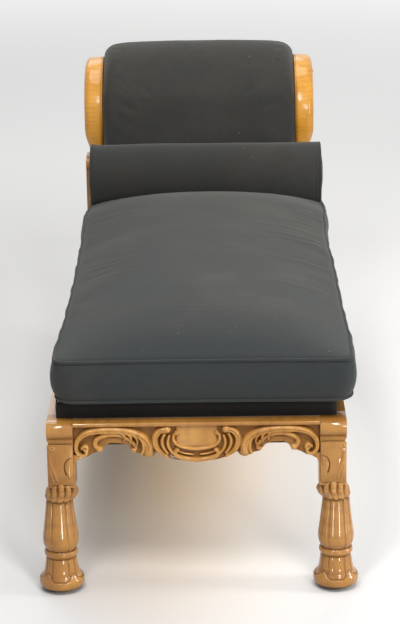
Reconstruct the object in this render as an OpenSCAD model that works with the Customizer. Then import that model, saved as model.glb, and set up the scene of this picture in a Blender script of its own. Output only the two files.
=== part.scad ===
// Fainting couch: a carved frame on casters, an upholstered deck and headrest,
// a loose seat cushion and a bolster. X is across, the head is towards +Y, Z is up.

/* [Overall] */
// Length from the front feet to the back of the head scrolls
overall_l = 1845; // [1700:5:2000]
// Width over the leg blocks
frame_w = 635; // [600:5:680]
// Height of the rail tops
rail_top = 388; // [375:1:410]

/* [Legs and feet] */
// Width of a leg block
leg_w = 56; // [54:1:60]
// Depth of a front leg block
leg_d = 62; // [58:1:68]
// Diameter of the roll on top of a front leg
roll_d = 40; // [34:1:44]
// How far the foot stands outside the block
foot_out = 7; // [0:1:9]
// Diameter of a foot
foot_d = 97; // [92:1:104]
// Height of the flared foot below its ring
foot_h = 67; // [60:1:72]
// Gap under a foot
foot_gap = 10.5; // [9:0.5:12]
// Diameter over the ring
ring_d = 73; // [70:1:78]
// Thickness of the ring
ring_h = 19; // [16:1:21]
// Width over the corners of the six-sided vase
vase_d = 80; // [74:1:84]
// Height of the vase
vase_h = 114; // [108:1:120]
// Height of the band of knuckles
collar_h = 40; // [36:1:44]
// Diameter of the collar inside its knuckles
collar_d = 56; // [52:1:58]
// Number of knuckles round a collar
knuckle_count = 12; // [10:1:14]
// Radius of a knuckle
knuckle_r = 8; // [7:0.5:8.5]
// Rise of the knuckles on the leg's face
knuckle_lift = 11; // [0:1:12]
// Thickness of the ear between the shaft and the apron
ear_out = 20; // [16:1:24]
// Height of the ear
ear_h = 22; // [18:1:26]

/* [Rails] */
// Height of the side and back rails
rail_h = 70; // [64:1:76]
// Thickness of the side rails
rail_t = 40; // [36:1:42]
// Thickness of the apron board
apron_t = 22; // [18:1:24]
// Drop of the apron at its centre, below its moulding
apron_drop = 82; // [76:1:90]
// Thickness of the moulding over the apron
moulding_t = 10; // [8:1:12]
// How far the moulding stands in front of the apron
moulding_out = 7; // [6:1:8]
// Front edge of the moulding, behind the front of the legs
moulding_in = 3; // [2:0.5:5]
// Height of the inner cross rails
inner_rail_h = 50; // [44:1:56]
// Thickness of the inner cross rails
inner_rail_t = 28; // [24:1:30]
// Height of a cross bearer
bearer_h = 30; // [26:1:36]
// Width of a cross bearer
bearer_w = 45; // [38:1:52]
// Radius of the carved scroll bands
band_r = 6; // [5:0.5:6]
// Leg of a corner block
block_leg = 70; // [60:1:80]
// Diameter of a corner block's screws
screw_d = 4.5; // [4:0.5:5]

/* [Head] */
// Thickness of the head scrolls and of the posts under them
scroll_w = 53; // [50:1:54]
// Height of the scroll eye over the rail
eye_up = 395; // [385:5:405]
// Radius of the volute
volute_r = 50; // [47:0.5:53]
// Radius of the scroll's big front arc
front_arc_r = 148; // [145:1:151]
// Front face of the posts, in front of the eye
post_ahead = 143; // [140:1:146]
// Depth of the posts
post_d = 76; // [73:1:79]
// Height of the joint between post and scroll, below the eye
neck_down = 209; // [206:1:212]
// Diameter of the boss at the scroll eye
boss_d = 20; // [16:1:26]
// How far a boss stands out
boss_out = 5.5; // [4:0.5:7]
// Radius of the crest rail
crest_rail_r = 41; // [39:0.5:41]
// Rise of the upholstered crest over the eye
crest_up = 98; // [92:1:104]

/* [Upholstery] */
// How far the deck stands in from the frame's sides
deck_in = 19; // [16:0.5:24]
// How far the deck stands behind the front of the legs
deck_back = 38; // [35:1:42]
// Height of the deck over the rails
deck_h = 44; // [38:1:50]
// Thickness of the deck's cover
cover_t = 2; // [1.5:0.5:3]
// Thickness of webbing
web_t = 2; // [1.5:0.5:2.5]
// Width of a seat webbing strap
web_w = 50; // [40:1:60]
// Number of webbing straps along the seat
webs_long = 4; // [3:1:5]
// Number of webbing straps across the seat
webs_cross = 12; // [9:1:14]
// Width of the seat cushion over its welts
cushion_w = 630; // [600:5:650]
// Height of the cushion's boxing, welts included
cushion_h = 96; // [88:1:104]
// Crown of the cushion over its top welt
cushion_crown = 52; // [40:1:60]
// How far the cushion and the bolster lie to the right
cushion_right = 18; // [0:1:20]
// How far the cushion is pressed down at its head end
cushion_press = 24; // [10:1:30]
// Radius of the welts
welt_r = 4; // [3:0.5:4.5]
// Radius of the bolster
bolster_r = 83; // [78:1:86]
// Length of the bolster between its welts
bolster_l = 612; // [590:2:626]
// How far the bolster sinks below the cushion's top welt
bolster_sink = 36; // [32:1:40]

/* [Casters] */
// Wheel diameter
wheel_d = 32; // [30:1:33]
// Wheel width
wheel_w = 12; // [10:1:13]
// Distance from the swivel axis to the wheel's axle
trail = 9; // [7:0.5:10]
// Diameter of the recess under a foot
recess_d = 58; // [57:1:62]
// Diameter of an axle
axle_d = 5; // [4:0.5:5.5]
// Diameter of a swivel stem
stem_d = 8; // [7:0.5:8.5]
// Height of a swivel stem
stem_h = 38; // [34:1:40]
// Turn of the casters at rest, from pointing straight in
caster_turn = 30; // [0:5:60]

/* [Hidden] */
$fn = 64;

wood = "#c98f45";
inner_wood = "#b08a58";
black_cloth = "#33342f";
jute = "#b09a6c";
brass = "#b58b3c";
steel = "#8d8f92";

over = 1; // overrun of every cut
soft_gap = 0.3; // between soft solids on different bodies
fit = 0.1; // radial running clearance
bury = 4; // how far stacked turnings reach into each other
ease = 3; // small step between faces of one carved piece

// places along and across the couch
front_y = -overall_l / 2 + (foot_d - leg_d) / 2;
eye_y = overall_l / 2 - volute_r;
post_y = eye_y - post_ahead;
side_x = frame_w / 2;
block_x = side_x - leg_w;
head_x = side_x - scroll_w;
block_mid = side_x - leg_w / 2;
foot_x = block_mid + foot_out;
foot_front_y = front_y + leg_d / 2;
foot_back_y = post_y + leg_d / 2;

// heights
ring_z = foot_gap + foot_h + ring_h / 2;
vase_z = ring_z + ring_h / 2 - bury;
collar_z = vase_z + vase_h;
shaft_z = collar_z + collar_h - bury;
rail_bottom = rail_top - rail_h;
apron_top = rail_top - moulding_t;
ear_top = apron_top - apron_drop * 0.75;
eye_z = rail_top + eye_up;
neck_z = eye_z - neck_down;
deck_top = rail_top + deck_h;
cushion_z = deck_top + soft_gap;
welt_top_z = cushion_z + cushion_h;

function arc(c, r, a0, a1, n) = [for (i = [0:n])
    c + r * [cos(a0 + (a1 - a0) * i / n), sin(a0 + (a1 - a0) * i / n)]];
function shaped(shares, w, h) = [for (p = shares) [p[0] * w, p[1] * h]];

// an outline in (Y, Z), extruded along +X
module side_prism(w) {
    rotate([90, 0, 90]) linear_extrude(w) children();
}

// an outline in (X, Z), extruded from y0 to y1
module front_prism(y0, y1) {
    translate([0, y1, 0]) rotate([90, 0, 0]) linear_extrude(y1 - y0) children();
}

// a bar across the couch, from -x to x
module bar(x, y0, y1, z0, z1) {
    translate([-x, y0, z0]) cube([2 * x, y1 - y0, z1 - z0]);
}

// the right-hand piece, or its mirror image
module on_side(left) {
    if (left) mirror([1, 0, 0]) children();
    else children();
}

// legs
foot_share = [[0, 0], [0.93, 0], [0.97, 0.04], [1, 0.11], [1, 0.26], [0.97, 0.31], [0.88, 0.4],
    [0.81, 0.52], [0.76, 0.68], [0.72, 0.88], [0.7, 1], [0, 1]];
vase_share = [[0, 0], [0.8, 0], [0.93, 0.07], [0.99, 0.15], [1, 0.23], [0.98, 0.32], [0.93, 0.43],
    [0.86, 0.58], [0.82, 0.74], [0.8, 0.88], [0.785, 1], [0, 1]];

module turned_leg() {
    translate([0, 0, foot_gap]) rotate_extrude()
        polygon(shaped(foot_share, foot_d / 2, foot_h + ease));
    translate([0, 0, ring_z]) rotate_extrude()
        translate([(ring_d - ring_h) / 2, 0]) circle(d = ring_h);
    translate([0, 0, ring_z - ring_h / 2]) cylinder(d = ring_d - ring_h, h = ring_h);
    translate([0, 0, vase_z]) rotate([0, 0, 22.5]) rotate_extrude($fn = 8)
        polygon(shaped(vase_share, vase_d / 2, vase_h + bury));
}

// beads round the collar, higher on the leg's face, which is on -Y here
module knuckle_band() {
    cylinder(d = collar_d, h = collar_h);
    for (i = [0:knuckle_count - 1]) let (a = i * 360 / knuckle_count) rotate([0, 0, a])
        translate([collar_d / 2 - knuckle_r * 0.2, 0, knuckle_lift * max(0, -sin(a))]) {
            translate([0, 0, collar_h * 0.68]) sphere(r = knuckle_r);
            translate([0, 0, collar_h * 0.22]) cylinder(r = knuckle_r * 0.8, h = collar_h * 0.46);
        }
}

// front view of a front leg's upper part, its ear towards the couch's middle
module front_leg_front() {
    w = leg_w / 2;
    polygon([[w, rail_top + over], [w, rail_top - roll_d], [w - ease, rail_top - roll_d - ease],
        [w - ease, shaft_z], [-w - ease, shaft_z], [-w - ease, ear_top - ear_h],
        [-w - ear_out * 0.3, ear_top - ear_h * 0.6], [-w - ear_out, ear_top - ear_h * 0.2],
        [-w - ear_out, ear_top], [-w, ear_top], [-w, rail_top + over]]);
}

module front_leg_side() {
    polygon(concat([[leg_d, rail_top]],
        arc([roll_d / 2, rail_top - roll_d / 2], roll_d / 2, 90, 235, 12),
        [[2 * ease, rail_top - roll_d - ease], [ease, ear_top - ear_h],
        [ease, shaft_z], [leg_d - ease, shaft_z], [leg_d - ease, rail_bottom - ear_h],
        [leg_d, rail_bottom]]));
}

// casters
caster_gap = 3; // between a wheel and its fork
crown_t = 3.5; // thickness of a fork's crown
shoulder_h = 5.2; // height of a fork's shoulder
flange_t = 2.5; // thickness of a socket's flange
socket_wall = 1.4; // wall of a socket's sleeve
cheek_t = 2.5; // thickness of a fork's cheeks
side_gap = 0.8; // between a wheel and its cheeks
crown_z = wheel_d + caster_gap;
play = 0.3; // between a fork's shoulder and its socket
flange_z = crown_z + crown_t + shoulder_h + play;
recess_top = flange_z + flange_t;
socket_d = stem_d + 2 * fit + 2 * socket_wall;
socket_h = stem_h + flange_t;

module caster_recess() {
    cylinder(d = recess_d, h = recess_top);
    cylinder(d = socket_d + 2 * fit, h = recess_top + socket_h);
}

module caster_socket() {
    color(brass) translate([0, 0, flange_z]) difference() {
        union() {
            cylinder(d = recess_d / 2, h = flange_t);
            cylinder(d = socket_d, h = flange_t + socket_h - over);
        }
        translate([0, 0, -over]) cylinder(d = stem_d + 2 * fit, h = socket_h + flange_t + 2 * over);
    }
}

module fork_cheek() {
    r = wheel_d * 0.22;
    difference() {
        rotate([90, 0, 0]) linear_extrude(cheek_t)
            polygon(concat([[r, crown_z + crown_t / 2], [-r, crown_z + crown_t / 2]],
                arc([0, wheel_d / 2], r, 180, 360, 16)));
        translate([0, over, wheel_d / 2]) rotate([90, 0, 0])
            cylinder(d = axle_d + 2 * fit, h = cheek_t + 2 * over);
    }
}

module caster_fork() {
    cheek_y = wheel_w / 2 + side_gap;
    color(brass) {
        translate([trail / 2, 0, crown_z]) cylinder(d = wheel_d * 0.8, h = crown_t);
        translate([0, 0, crown_z + crown_t / 2]) cylinder(d = 2 * stem_d, h = crown_t / 2 + shoulder_h);
        translate([0, 0, crown_z + crown_t]) cylinder(d = stem_d, h = shoulder_h + stem_h);
        translate([trail, -cheek_y, 0]) fork_cheek();
        translate([trail, cheek_y + cheek_t, 0]) fork_cheek();
    }
}

module caster_axle() {
    half = wheel_w / 2 + side_gap + cheek_t;
    color(steel) translate([trail, 0, wheel_d / 2]) rotate([90, 0, 0]) {
        cylinder(d = axle_d, h = 2 * half, center = true);
        for (i = [-1, 1]) translate([0, 0, i * (half + cheek_t / 4)])
            cylinder(d = 1.6 * axle_d, h = cheek_t / 2, center = true);
    }
}

module caster_wheel() {
    chamfer = wheel_w / 8;
    color(brass) translate([trail, 0, wheel_d / 2]) rotate([90, 0, 0]) rotate_extrude()
        polygon([[axle_d / 2 + fit, -wheel_w / 2], [wheel_d / 2 - chamfer, -wheel_w / 2],
            [wheel_d / 2, -wheel_w / 2 + chamfer], [wheel_d / 2, wheel_w / 2 - chamfer],
            [wheel_d / 2 - chamfer, wheel_w / 2], [axle_d / 2 + fit, wheel_w / 2]]);
}

// a caster part under one foot, trailing inwards and towards the head
module at_foot(back, left) {
    on_side(left) translate([foot_x, back ? foot_back_y : foot_front_y, 0])
        rotate([0, 0, 180 - caster_turn]) children();
}

module front_leg() {
    color(wood) difference() {
        union() {
            translate([foot_x, foot_front_y, 0]) turned_leg();
            translate([block_mid, foot_front_y, collar_z]) knuckle_band();
            intersection() {
                translate([block_mid, 0, 0])
                    front_prism(front_y - over, front_y + leg_d + over) front_leg_front();
                translate([block_x - 2 * ear_out, front_y, 0])
                    side_prism(leg_w + 3 * ear_out) front_leg_side();
            }
        }
        translate([foot_x, foot_front_y, 0]) caster_recess();
    }
}

post_roll_r = 16; // roll on the front of a post's top
groove_r = 3; // carved grooves under it
groove_pitch = 9;
groove_count = 3;
dowel_d = 10;
dowel_h = 50;

// head scroll: a big front arc, the volute, and a hollow behind
arc_ahead = 19; // the big arc's centre, ahead of the eye
arc_down = front_arc_r - volute_r; // and below it
hollow_foot = post_ahead - post_d; // foremost point of the hollow, ahead of the eye
hollow_down = neck_down * 0.9;
neck_a = 180 + asin((neck_down - arc_down) / front_arc_r);
neck_t = arc_ahead - front_arc_r * cos(neck_a) - hollow_foot;
meet = 245; // where the hollow leaves the volute, degrees
meet_y = volute_r * cos(meet) + hollow_foot;
meet_z = volute_r * sin(meet) + hollow_down;
hollow_r = (meet_y * meet_y + meet_z * meet_z) / (2 * meet_y);
meet_a = atan2(meet_z, meet_y - hollow_r);

module back_leg_side() {
    roll_z = neck_z - post_roll_r - ease;
    polygon(concat([[0, roll_z - post_roll_r], [0, rail_bottom - ear_h],
        [ease, rail_bottom - 2 * ear_h], [ease, shaft_z], [leg_d - ease, shaft_z],
        [leg_d - ease, rail_bottom - ear_h], [post_d, rail_bottom], [post_d, neck_z],
        [post_d - neck_t - ease, neck_z]],
        arc([post_roll_r * 0.75, roll_z], post_roll_r, 60, 240, 12)));
}

module post_dowels(extra) {
    for (i = [-1, 1])
        translate([side_x - scroll_w / 2 + i * scroll_w / 5, post_y + post_d - neck_t / 2, neck_z])
            cylinder(d = dowel_d + 2 * extra, h = dowel_h + 2 * extra, center = true);
}

module back_leg() {
    color(wood) difference() {
        union() {
            translate([foot_x, foot_back_y, 0]) turned_leg();
            translate([block_mid, foot_back_y, collar_z]) rotate([0, 0, 180]) knuckle_band();
            translate([head_x, post_y, 0]) side_prism(scroll_w) back_leg_side();
        }
        translate([foot_x, foot_back_y, 0]) caster_recess();
        post_dowels(fit);
        for (i = [1:groove_count])
            translate([head_x - over, post_y - groove_r / 2, neck_z - 2 * post_roll_r - i * groove_pitch])
                rotate([0, 90, 0]) cylinder(r = groove_r, h = scroll_w + 2 * over);
    }
}

// rails
side_rail_y0 = front_y + leg_d;
apron_y = front_y + moulding_in + moulding_out;
front_rail_y = apron_y + apron_t;
seat_end_y = eye_y - arc_ahead - front_arc_r - 0.65 * front_arc_r; // where the headrest's lower edge begins
seat_back_y = seat_end_y - inner_rail_t;
back_rail_y = post_y + post_d - rail_t;
bearer_z = rail_bottom + ease;

module side_rail() {
    color(wood) difference() {
        translate([side_x - rail_t, side_rail_y0, rail_bottom])
            cube([rail_t, post_y - side_rail_y0, rail_h]);
        block_screws(fit);
        cross_tacks(fit, [1]);
    }
}

module seat_front_rail() {
    color(inner_wood) difference() {
        bar(block_x, front_rail_y, side_rail_y0, rail_top - inner_rail_h, rail_top);
        for (left = [false, true]) on_side(left) block_screws(fit);
        long_tacks(fit, [front_tack_y]);
    }
}

module seat_back_rail() {
    color(inner_wood) difference() {
        bar(side_x - rail_t, seat_back_y, seat_end_y, rail_top - inner_rail_h, rail_top);
        for (left = [false, true]) on_side(left) block_screws(fit);
        long_tacks(fit, [back_tack_y]);
    }
}

module back_rail() {
    color(wood) bar(head_x, back_rail_y, post_y + post_d, rail_bottom, rail_top);
}

module cross_bearer(share) {
    y = side_rail_y0 + (seat_back_y - side_rail_y0) * share;
    color(inner_wood)
        bar(side_x - rail_t, y - bearer_w / 2, y + bearer_w / 2, bearer_z, bearer_z + bearer_h);
}

// corner blocks, glued into the rails' corners and screwed both ways
block_h = inner_rail_h - 2 * bury;
block_z = rail_top - inner_rail_h + bury;
screw_wood = block_leg / 4; // wood under a screw's head
screw_bite = inner_rail_t * 0.6; // length in the rail
screw_at = block_leg * 0.36; // from the corner
screw_head_d = 2 * screw_d;
screw_head_h = screw_d * 0.7;

// a screw along +X whose head seats at x = 0
module screw(extra, reach) {
    rotate([0, 90, 0]) cylinder(d = screw_d + 2 * extra, h = screw_wood + screw_bite + 2 * extra);
    translate([-screw_head_h - reach, 0, 0]) rotate([0, 90, 0])
        cylinder(d = screw_head_d + 2 * extra, h = screw_head_h + reach);
}

// both screws of the block whose corner is at (0, 0) and whose body is at x < 0, y > 0
module screw_pair(extra, reach) {
    translate([-screw_wood, screw_at, block_z + block_h * 0.35]) screw(extra, reach);
    translate([-screw_at, screw_wood, block_z + block_h * 0.65])
        rotate([0, 0, -90]) screw(extra, reach);
}

module at_corners() {
    translate([side_x - rail_t, side_rail_y0, 0]) children();
    translate([side_x - rail_t, seat_back_y, 0]) mirror([0, 1, 0]) children();
}

module block_screws(extra, reach = 0) {
    at_corners() screw_pair(extra, reach);
}

module corner_blocks() {
    color(inner_wood) for (left = [false, true]) on_side(left) difference() {
        at_corners() translate([0, 0, block_z]) linear_extrude(block_h)
            polygon([[0, 0], [-block_leg, 0], [0, block_leg]]);
        block_screws(fit, block_leg);
    }
}

module corner_block_screws() {
    color(steel) for (left = [false, true]) on_side(left) block_screws(0);
}

// apron: half outline from the leg to the centre, shares of half width and of drop
apron_share = [[1, 0], [1, 0.75], [0.92, 0.75], [0.9, 0.78], [0.88, 0.75], [0.84, 0.68], [0.8, 0.66],
    [0.76, 0.58], [0.71, 0.5], [0.6, 0.46], [0.52, 0.5], [0.485, 0.6], [0.46, 0.74],
    [0.43, 0.84], [0.38, 0.85], [0.34, 0.73], [0.3, 0.76], [0.26, 0.83], [0.19, 0.92],
    [0.09, 0.99]];

// a carved band: a half-sunk tube along an arc in the apron's front face
module band(x, drop, r, a0, a1) {
    translate([x, apron_y, apron_top - drop]) rotate([90, 0, 0]) rotate([0, 0, a0])
        rotate_extrude(angle = a1 - a0) translate([r, 0]) circle(r = band_r);
}

module curl(x, drop, r) {
    translate([x, apron_y, apron_top - drop]) sphere(r = r);
}

module front_apron() {
    d = apron_drop;
    right = shaped(apron_share, block_x, -apron_drop);
    left = [for (i = [len(right) - 1:-1:0]) [-right[i][0], right[i][1]]];
    color(wood) {
        translate([0, 0, apron_top]) front_prism(apron_y, front_rail_y)
            polygon(concat(right, left));
        for (s = [-1, 1]) {
            band(s * block_x * 0.66, d, d * 0.88, 25, 155);
            band(s * block_x * 0.63, d * 0.93, d * 0.57, 35, 145);
            curl(s * block_x * 0.945, d * 0.66, band_r * 1.2);
            curl(s * block_x * 0.375, d * 0.68, band_r * 1.2);
            curl(s * block_x * 0.27, d * 0.17, band_r * 1.5);
            band(s * block_x * 0.12, d * 0.3, d * 0.42, s > 0 ? -75 : 195, s > 0 ? 20 : 255);
            curl(s * block_x * 0.2, d * 0.2, band_r * 1.1);
        }
        band(0, -d * 0.2, d * 1.05, 238, 302);
    }
}

module apron_moulding() {
    r = moulding_t / 2;
    color(wood) translate([-block_x, front_y + moulding_in, apron_top]) side_prism(2 * block_x)
        polygon(concat([[moulding_out + apron_t, moulding_t], [moulding_out + apron_t, 0]],
            arc([r, r], r, 270, 90, 12)));
}

// seat suspension and deck
deck_x = side_x - deck_in;
deck_y = front_y + deck_back;
deck_end_y = seat_end_y - soft_gap;
web_x = deck_x - 2 * cover_t;
web_y0 = deck_y + 2 * cover_t;
web_y1 = deck_end_y - 2 * cover_t;
tack_d = 3;
tack_h = 12;
head_t = 0.8; // thickness of tack heads, hessian and dust cover
front_tack_y = web_y0 + 2 * tack_d;
back_tack_y = web_y1 - 2 * tack_d;

function long_x(i) = -web_x + web_w + (2 * web_x - 2 * web_w) * i / (webs_long - 1);
function cross_y(i) = side_rail_y0 + web_w + (seat_back_y - side_rail_y0 - 2 * web_w) * i / (webs_cross - 1);

// the straps along the seat drop to the rails at both ends
module webbing_long() {
    lift = web_w / 3;
    color(jute) difference() {
        for (i = [0:webs_long - 1]) translate([long_x(i) - web_w / 2, 0, rail_top])
            side_prism(web_w) polygon([[web_y0, 0], [web_y0 + lift, 0], [web_y0 + 2 * lift, web_t],
                [web_y1 - 2 * lift, web_t], [web_y1 - lift, 0], [web_y1, 0], [web_y1, web_t],
                [web_y1 - lift, web_t], [web_y1 - 2 * lift, 2 * web_t],
                [web_y0 + 2 * lift, 2 * web_t], [web_y0 + lift, web_t], [web_y0, web_t]]);
        long_tacks(fit, [front_tack_y, back_tack_y]);
    }
}

module webbing_cross() {
    color(jute) difference() {
        for (i = [0:webs_cross - 1])
            bar(web_x, cross_y(i) - web_w / 3, cross_y(i) + web_w / 3, rail_top, rail_top + web_t);
        cross_tacks(fit, [-1, 1]);
    }
}

module tack(extra) {
    translate([0, 0, rail_top - tack_h - extra])
        cylinder(d = tack_d + 2 * extra, h = tack_h + web_t + 2 * extra);
    if (extra == 0) translate([0, 0, rail_top + web_t]) cylinder(d = 2 * tack_d, h = head_t);
}

module cross_tacks(extra, sides) {
    for (i = [0:webs_cross - 1], s = sides)
        translate([s * (web_x - tack_d), cross_y(i), 0]) tack(extra);
}

module long_tacks(extra, ends) {
    for (i = [0:webs_long - 1], y = ends) translate([long_x(i), y, 0]) tack(extra);
}

module webbing_tacks() {
    color(steel) {
        cross_tacks(0, [-1, 1]);
        long_tacks(0, [front_tack_y, back_tack_y]);
    }
}

hessian_z = rail_top + 2 * web_t;

module deck_hessian() {
    color(jute) bar(web_x + cover_t / 2, web_y0 - cover_t / 2, web_y1 + cover_t / 2,
        hessian_z, hessian_z + head_t);
}

module deck_pad() {
    color(jute) bar(deck_x - cover_t, deck_y + cover_t, deck_end_y - cover_t,
        hessian_z + head_t, deck_top - cover_t);
}

module deck_cover() {
    color(black_cloth) difference() {
        bar(deck_x, deck_y, deck_end_y, rail_top, deck_top);
        bar(deck_x - cover_t, deck_y + cover_t, deck_end_y - cover_t, rail_top - over, deck_top - cover_t);
    }
}

module dust_cover() {
    color(black_cloth) bar(side_x - rail_t / 4, side_rail_y0 + ease, post_y - ease,
        rail_bottom - head_t, rail_bottom);
}

module scroll_side() {
    polygon(concat(
        arc([-arc_ahead, -arc_down], front_arc_r, neck_a, 91, 26),
        arc([0, 0], volute_r, 78, meet - 360, 30),
        arc([hollow_r - hollow_foot, -hollow_down], hollow_r, meet_a, 180, 9),
        [[-hollow_foot, -neck_down]]));
}

// front view: the outer face is drawn in towards the neck and rounded over at the top
shoulder_share = [[0.98, 0.5], [0.93, 0.67], [0.84, 0.81], [0.7, 0.92], [0.52, 0.99], [0.3, 1.05], [0, 1.05]];
module scroll_front() {
    drawn = scroll_w / 4;
    polygon(concat([[0, -neck_down], [scroll_w - drawn, -neck_down],
        [scroll_w - drawn * 0.8, -neck_down + drawn], [scroll_w - drawn * 0.3, -neck_down + 3 * drawn],
        [scroll_w, -neck_down + 5 * drawn], [scroll_w, volute_r * 0.3]],
        shaped(shoulder_share, scroll_w, volute_r)));
}

module head_scroll() {
    color(wood) difference() {
        intersection() {
            translate([head_x, eye_y, eye_z]) side_prism(scroll_w) scroll_side();
            translate([head_x, 0, eye_z])
                front_prism(eye_y - 2 * front_arc_r, eye_y + 2 * volute_r) scroll_front();
        }
        post_dowels(fit);
        translate([side_x - boss_d, eye_y, eye_z]) rotate([0, 90, 0])
            cylinder(d = boss_d / 2 + 2 * fit, h = boss_d + over);
    }
}

module scroll_boss() {
    dome_r = (boss_d * boss_d / 4 + boss_out * boss_out) / (2 * boss_out);
    dome_a = asin(boss_d / 2 / dome_r);
    color(wood) translate([side_x, eye_y, eye_z]) rotate([0, 90, 0]) rotate_extrude()
        polygon(concat([[0, -boss_d + fit], [boss_d / 4, -boss_d + fit], [boss_d / 4, 0]],
            arc([0, boss_out - dome_r], dome_r, 90 - dome_a, 90, 8)));
}

module scroll_dowels() {
    color(inner_wood) for (left = [false, true]) on_side(left) post_dowels(0);
}

// headrest
mid_rail_y = eye_y - arc_ahead - front_arc_r + 13.5; // front of the middle rail
mid_rail_z = eye_z - 128;
mid_rail_h = 53;
low_rail_h = 60;
head_rail_t = 25;
low_rail_y = post_y + bury * 2;
pad_bulge = 50; // pad over the middle rail
seam_gap = fit; // between the pad's ends and the scrolls

module head_crest_rail() {
    color(inner_wood) translate([-head_x, eye_y, eye_z]) rotate([0, 90, 0])
        cylinder(r = crest_rail_r, h = 2 * head_x);
}

module head_middle_rail() {
    color(inner_wood) bar(head_x, mid_rail_y, mid_rail_y + head_rail_t, mid_rail_z, mid_rail_z + mid_rail_h);
}

module head_bottom_rail() {
    color(inner_wood) bar(head_x, low_rail_y, low_rail_y + head_rail_t, rail_top, rail_top + low_rail_h);
}

// the webbing's front line, from the bottom rail over the middle rail to the crest rail
wrap_r = crest_rail_r + web_t;
web_line = [[low_rail_y - web_t, rail_top + bury], [low_rail_y - web_t, rail_top + low_rail_h],
    [mid_rail_y - web_t, mid_rail_z], [mid_rail_y - web_t, mid_rail_z + mid_rail_h],
    [eye_y, eye_z] + wrap_r * [cos(135), sin(135)]];

module head_webbing() {
    back_line = [for (i = [len(web_line) - 1:-1:0]) web_line[i] + [web_t, 0]];
    color(jute) for (i = [-1:1]) translate([i * head_x * 0.6 - web_w / 2, 0, 0])
        side_prism(web_w) polygon(concat(web_line, back_line));
}

// the pad: a band between the webbing line and its outer line, swept across the head
pad_front_r = front_arc_r + pad_bulge - 15;
inner_line = concat(web_line,
    [for (i = [1:9]) [eye_y, eye_z] + wrap_r * [cos(135 - 25 * i), sin(135 - 25 * i)]]);
arc_c = [eye_y - arc_ahead, eye_z - arc_down];
outer_line = concat(
    [[seat_end_y, rail_top + bury], [seat_end_y, rail_top + low_rail_h * 0.85],
    [arc_c[0] - pad_front_r - ease, arc_c[1] - ease]],
    [for (i = [0:5]) arc_c + [pad_front_r * cos(170 - 15 * i), (crest_up + arc_down) * sin(170 - 15 * i)]],
    [for (i = [0:4]) [eye_y, eye_z] + [(volute_r - bury) * cos(72 - 40 * i), (i == 0 ? crest_up
        : volute_r - bury) * sin(72 - 40 * i)]]);
station_share = [-1, -0.985, -0.95, -0.88, -0.76, -0.55, -0.28, 0, 0.28, 0.55, 0.76, 0.88, 0.95, 0.985, 1];

function pad_fill(u) = 1 - 0.15 * u * u - 0.5 * pow(abs(u), 16);

module head_pad() {
    m = len(outer_line);
    n = len(station_share);
    points = [for (u = station_share) each concat(
        [for (k = [0:m - 1]) let (p = inner_line[k] + (outer_line[k] - inner_line[k]) * pad_fill(u))
            [u * (head_x - seam_gap), p[0], p[1]]],
        [for (k = [0:m - 1]) [u * (head_x - seam_gap), inner_line[k][0], inner_line[k][1]]])];
    across = [for (s = [0:n - 2], k = [0:m - 2], f = [0, 1]) let (a = s * 2 * m + f * m + k, b = a + 2 * m)
        each f == 0 ? [[a, a + 1, b], [a + 1, b + 1, b]] : [[a, b, a + 1], [a + 1, b, b + 1]]];
    edges = [for (s = [0:n - 2]) let (a = s * 2 * m, b = a + 2 * m)
        each [[a, b, a + m], [b, b + m, a + m],
        [a + m - 1, a + 2 * m - 1, b + m - 1], [a + 2 * m - 1, b + 2 * m - 1, b + m - 1]]];
    last = (n - 1) * 2 * m;
    caps = [for (k = [0:m - 2]) each [[k, k + m, k + 1], [k + 1, k + m, k + m + 1],
        [last + k, last + k + 1, last + k + m], [last + k + 1, last + k + m + 1, last + k + m]]];
    color(black_cloth) polyhedron(points, concat(across, edges, caps));
}

module outside_back() {
    c = [hollow_r - hollow_foot + eye_y, eye_z - hollow_down];
    t = ease + cover_t;
    color(black_cloth) difference() {
        translate([-head_x + seam_gap, 0, 0]) side_prism(2 * (head_x - seam_gap))
            polygon(concat(arc(c, hollow_r + ease, meet_a - 3, 180, 8), [[c[0] - hollow_r - ease, rail_top]],
                [[c[0] - hollow_r - ease - t, rail_top]], arc(c, hollow_r + ease + t, 180, meet_a - 3, 8)));
        translate([-head_x - over, eye_y, eye_z]) rotate([0, 90, 0])
            cylinder(r = crest_rail_r + fit, h = 2 * (head_x + over));
    }
}

// cushion: rings of one rounded outline, drawn in between the corners
cushion_y0 = front_y - welt_r;
cushion_y1 = seat_end_y - 3 * welt_r;
cushion_a = cushion_w / 2;
cushion_b = (cushion_y1 - cushion_y0) / 2;
cushion_mid = (cushion_y0 + cushion_y1) / 2;
corner_r = 26; // of the outline
corner_steps = 4; // sides in a corner's arc
swell = 9; // of the boxing between its welts
draw_in = 5; // of each side between its corners
bolster_y = seat_end_y - bolster_r + 2 * welt_r;
bolster_z = welt_top_z - bolster_sink + bolster_r;
press_y0 = bolster_y - 3.5 * bolster_r; // where the cushion starts to be pressed down
press_y1 = bolster_y - bolster_r / 2; // and where it is down in full
seat = 2 * welt_r + soft_gap; // inset of the notch that holds a welt
boxing = cushion_h - 2 * seat;
side_share = [0.972, 0.946, 0.92, 0.887, 0.852, 0.825, 0.8, 0.77, 0.735, 0.66, 0.54, 0.36, 0.12,
    -0.12, -0.36, -0.6, -0.84]; // points along a long side, of its half length
end_share = [2 / 3, 1 / 3, 0, -1 / 3, -2 / 3]; // points along a short side

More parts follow.
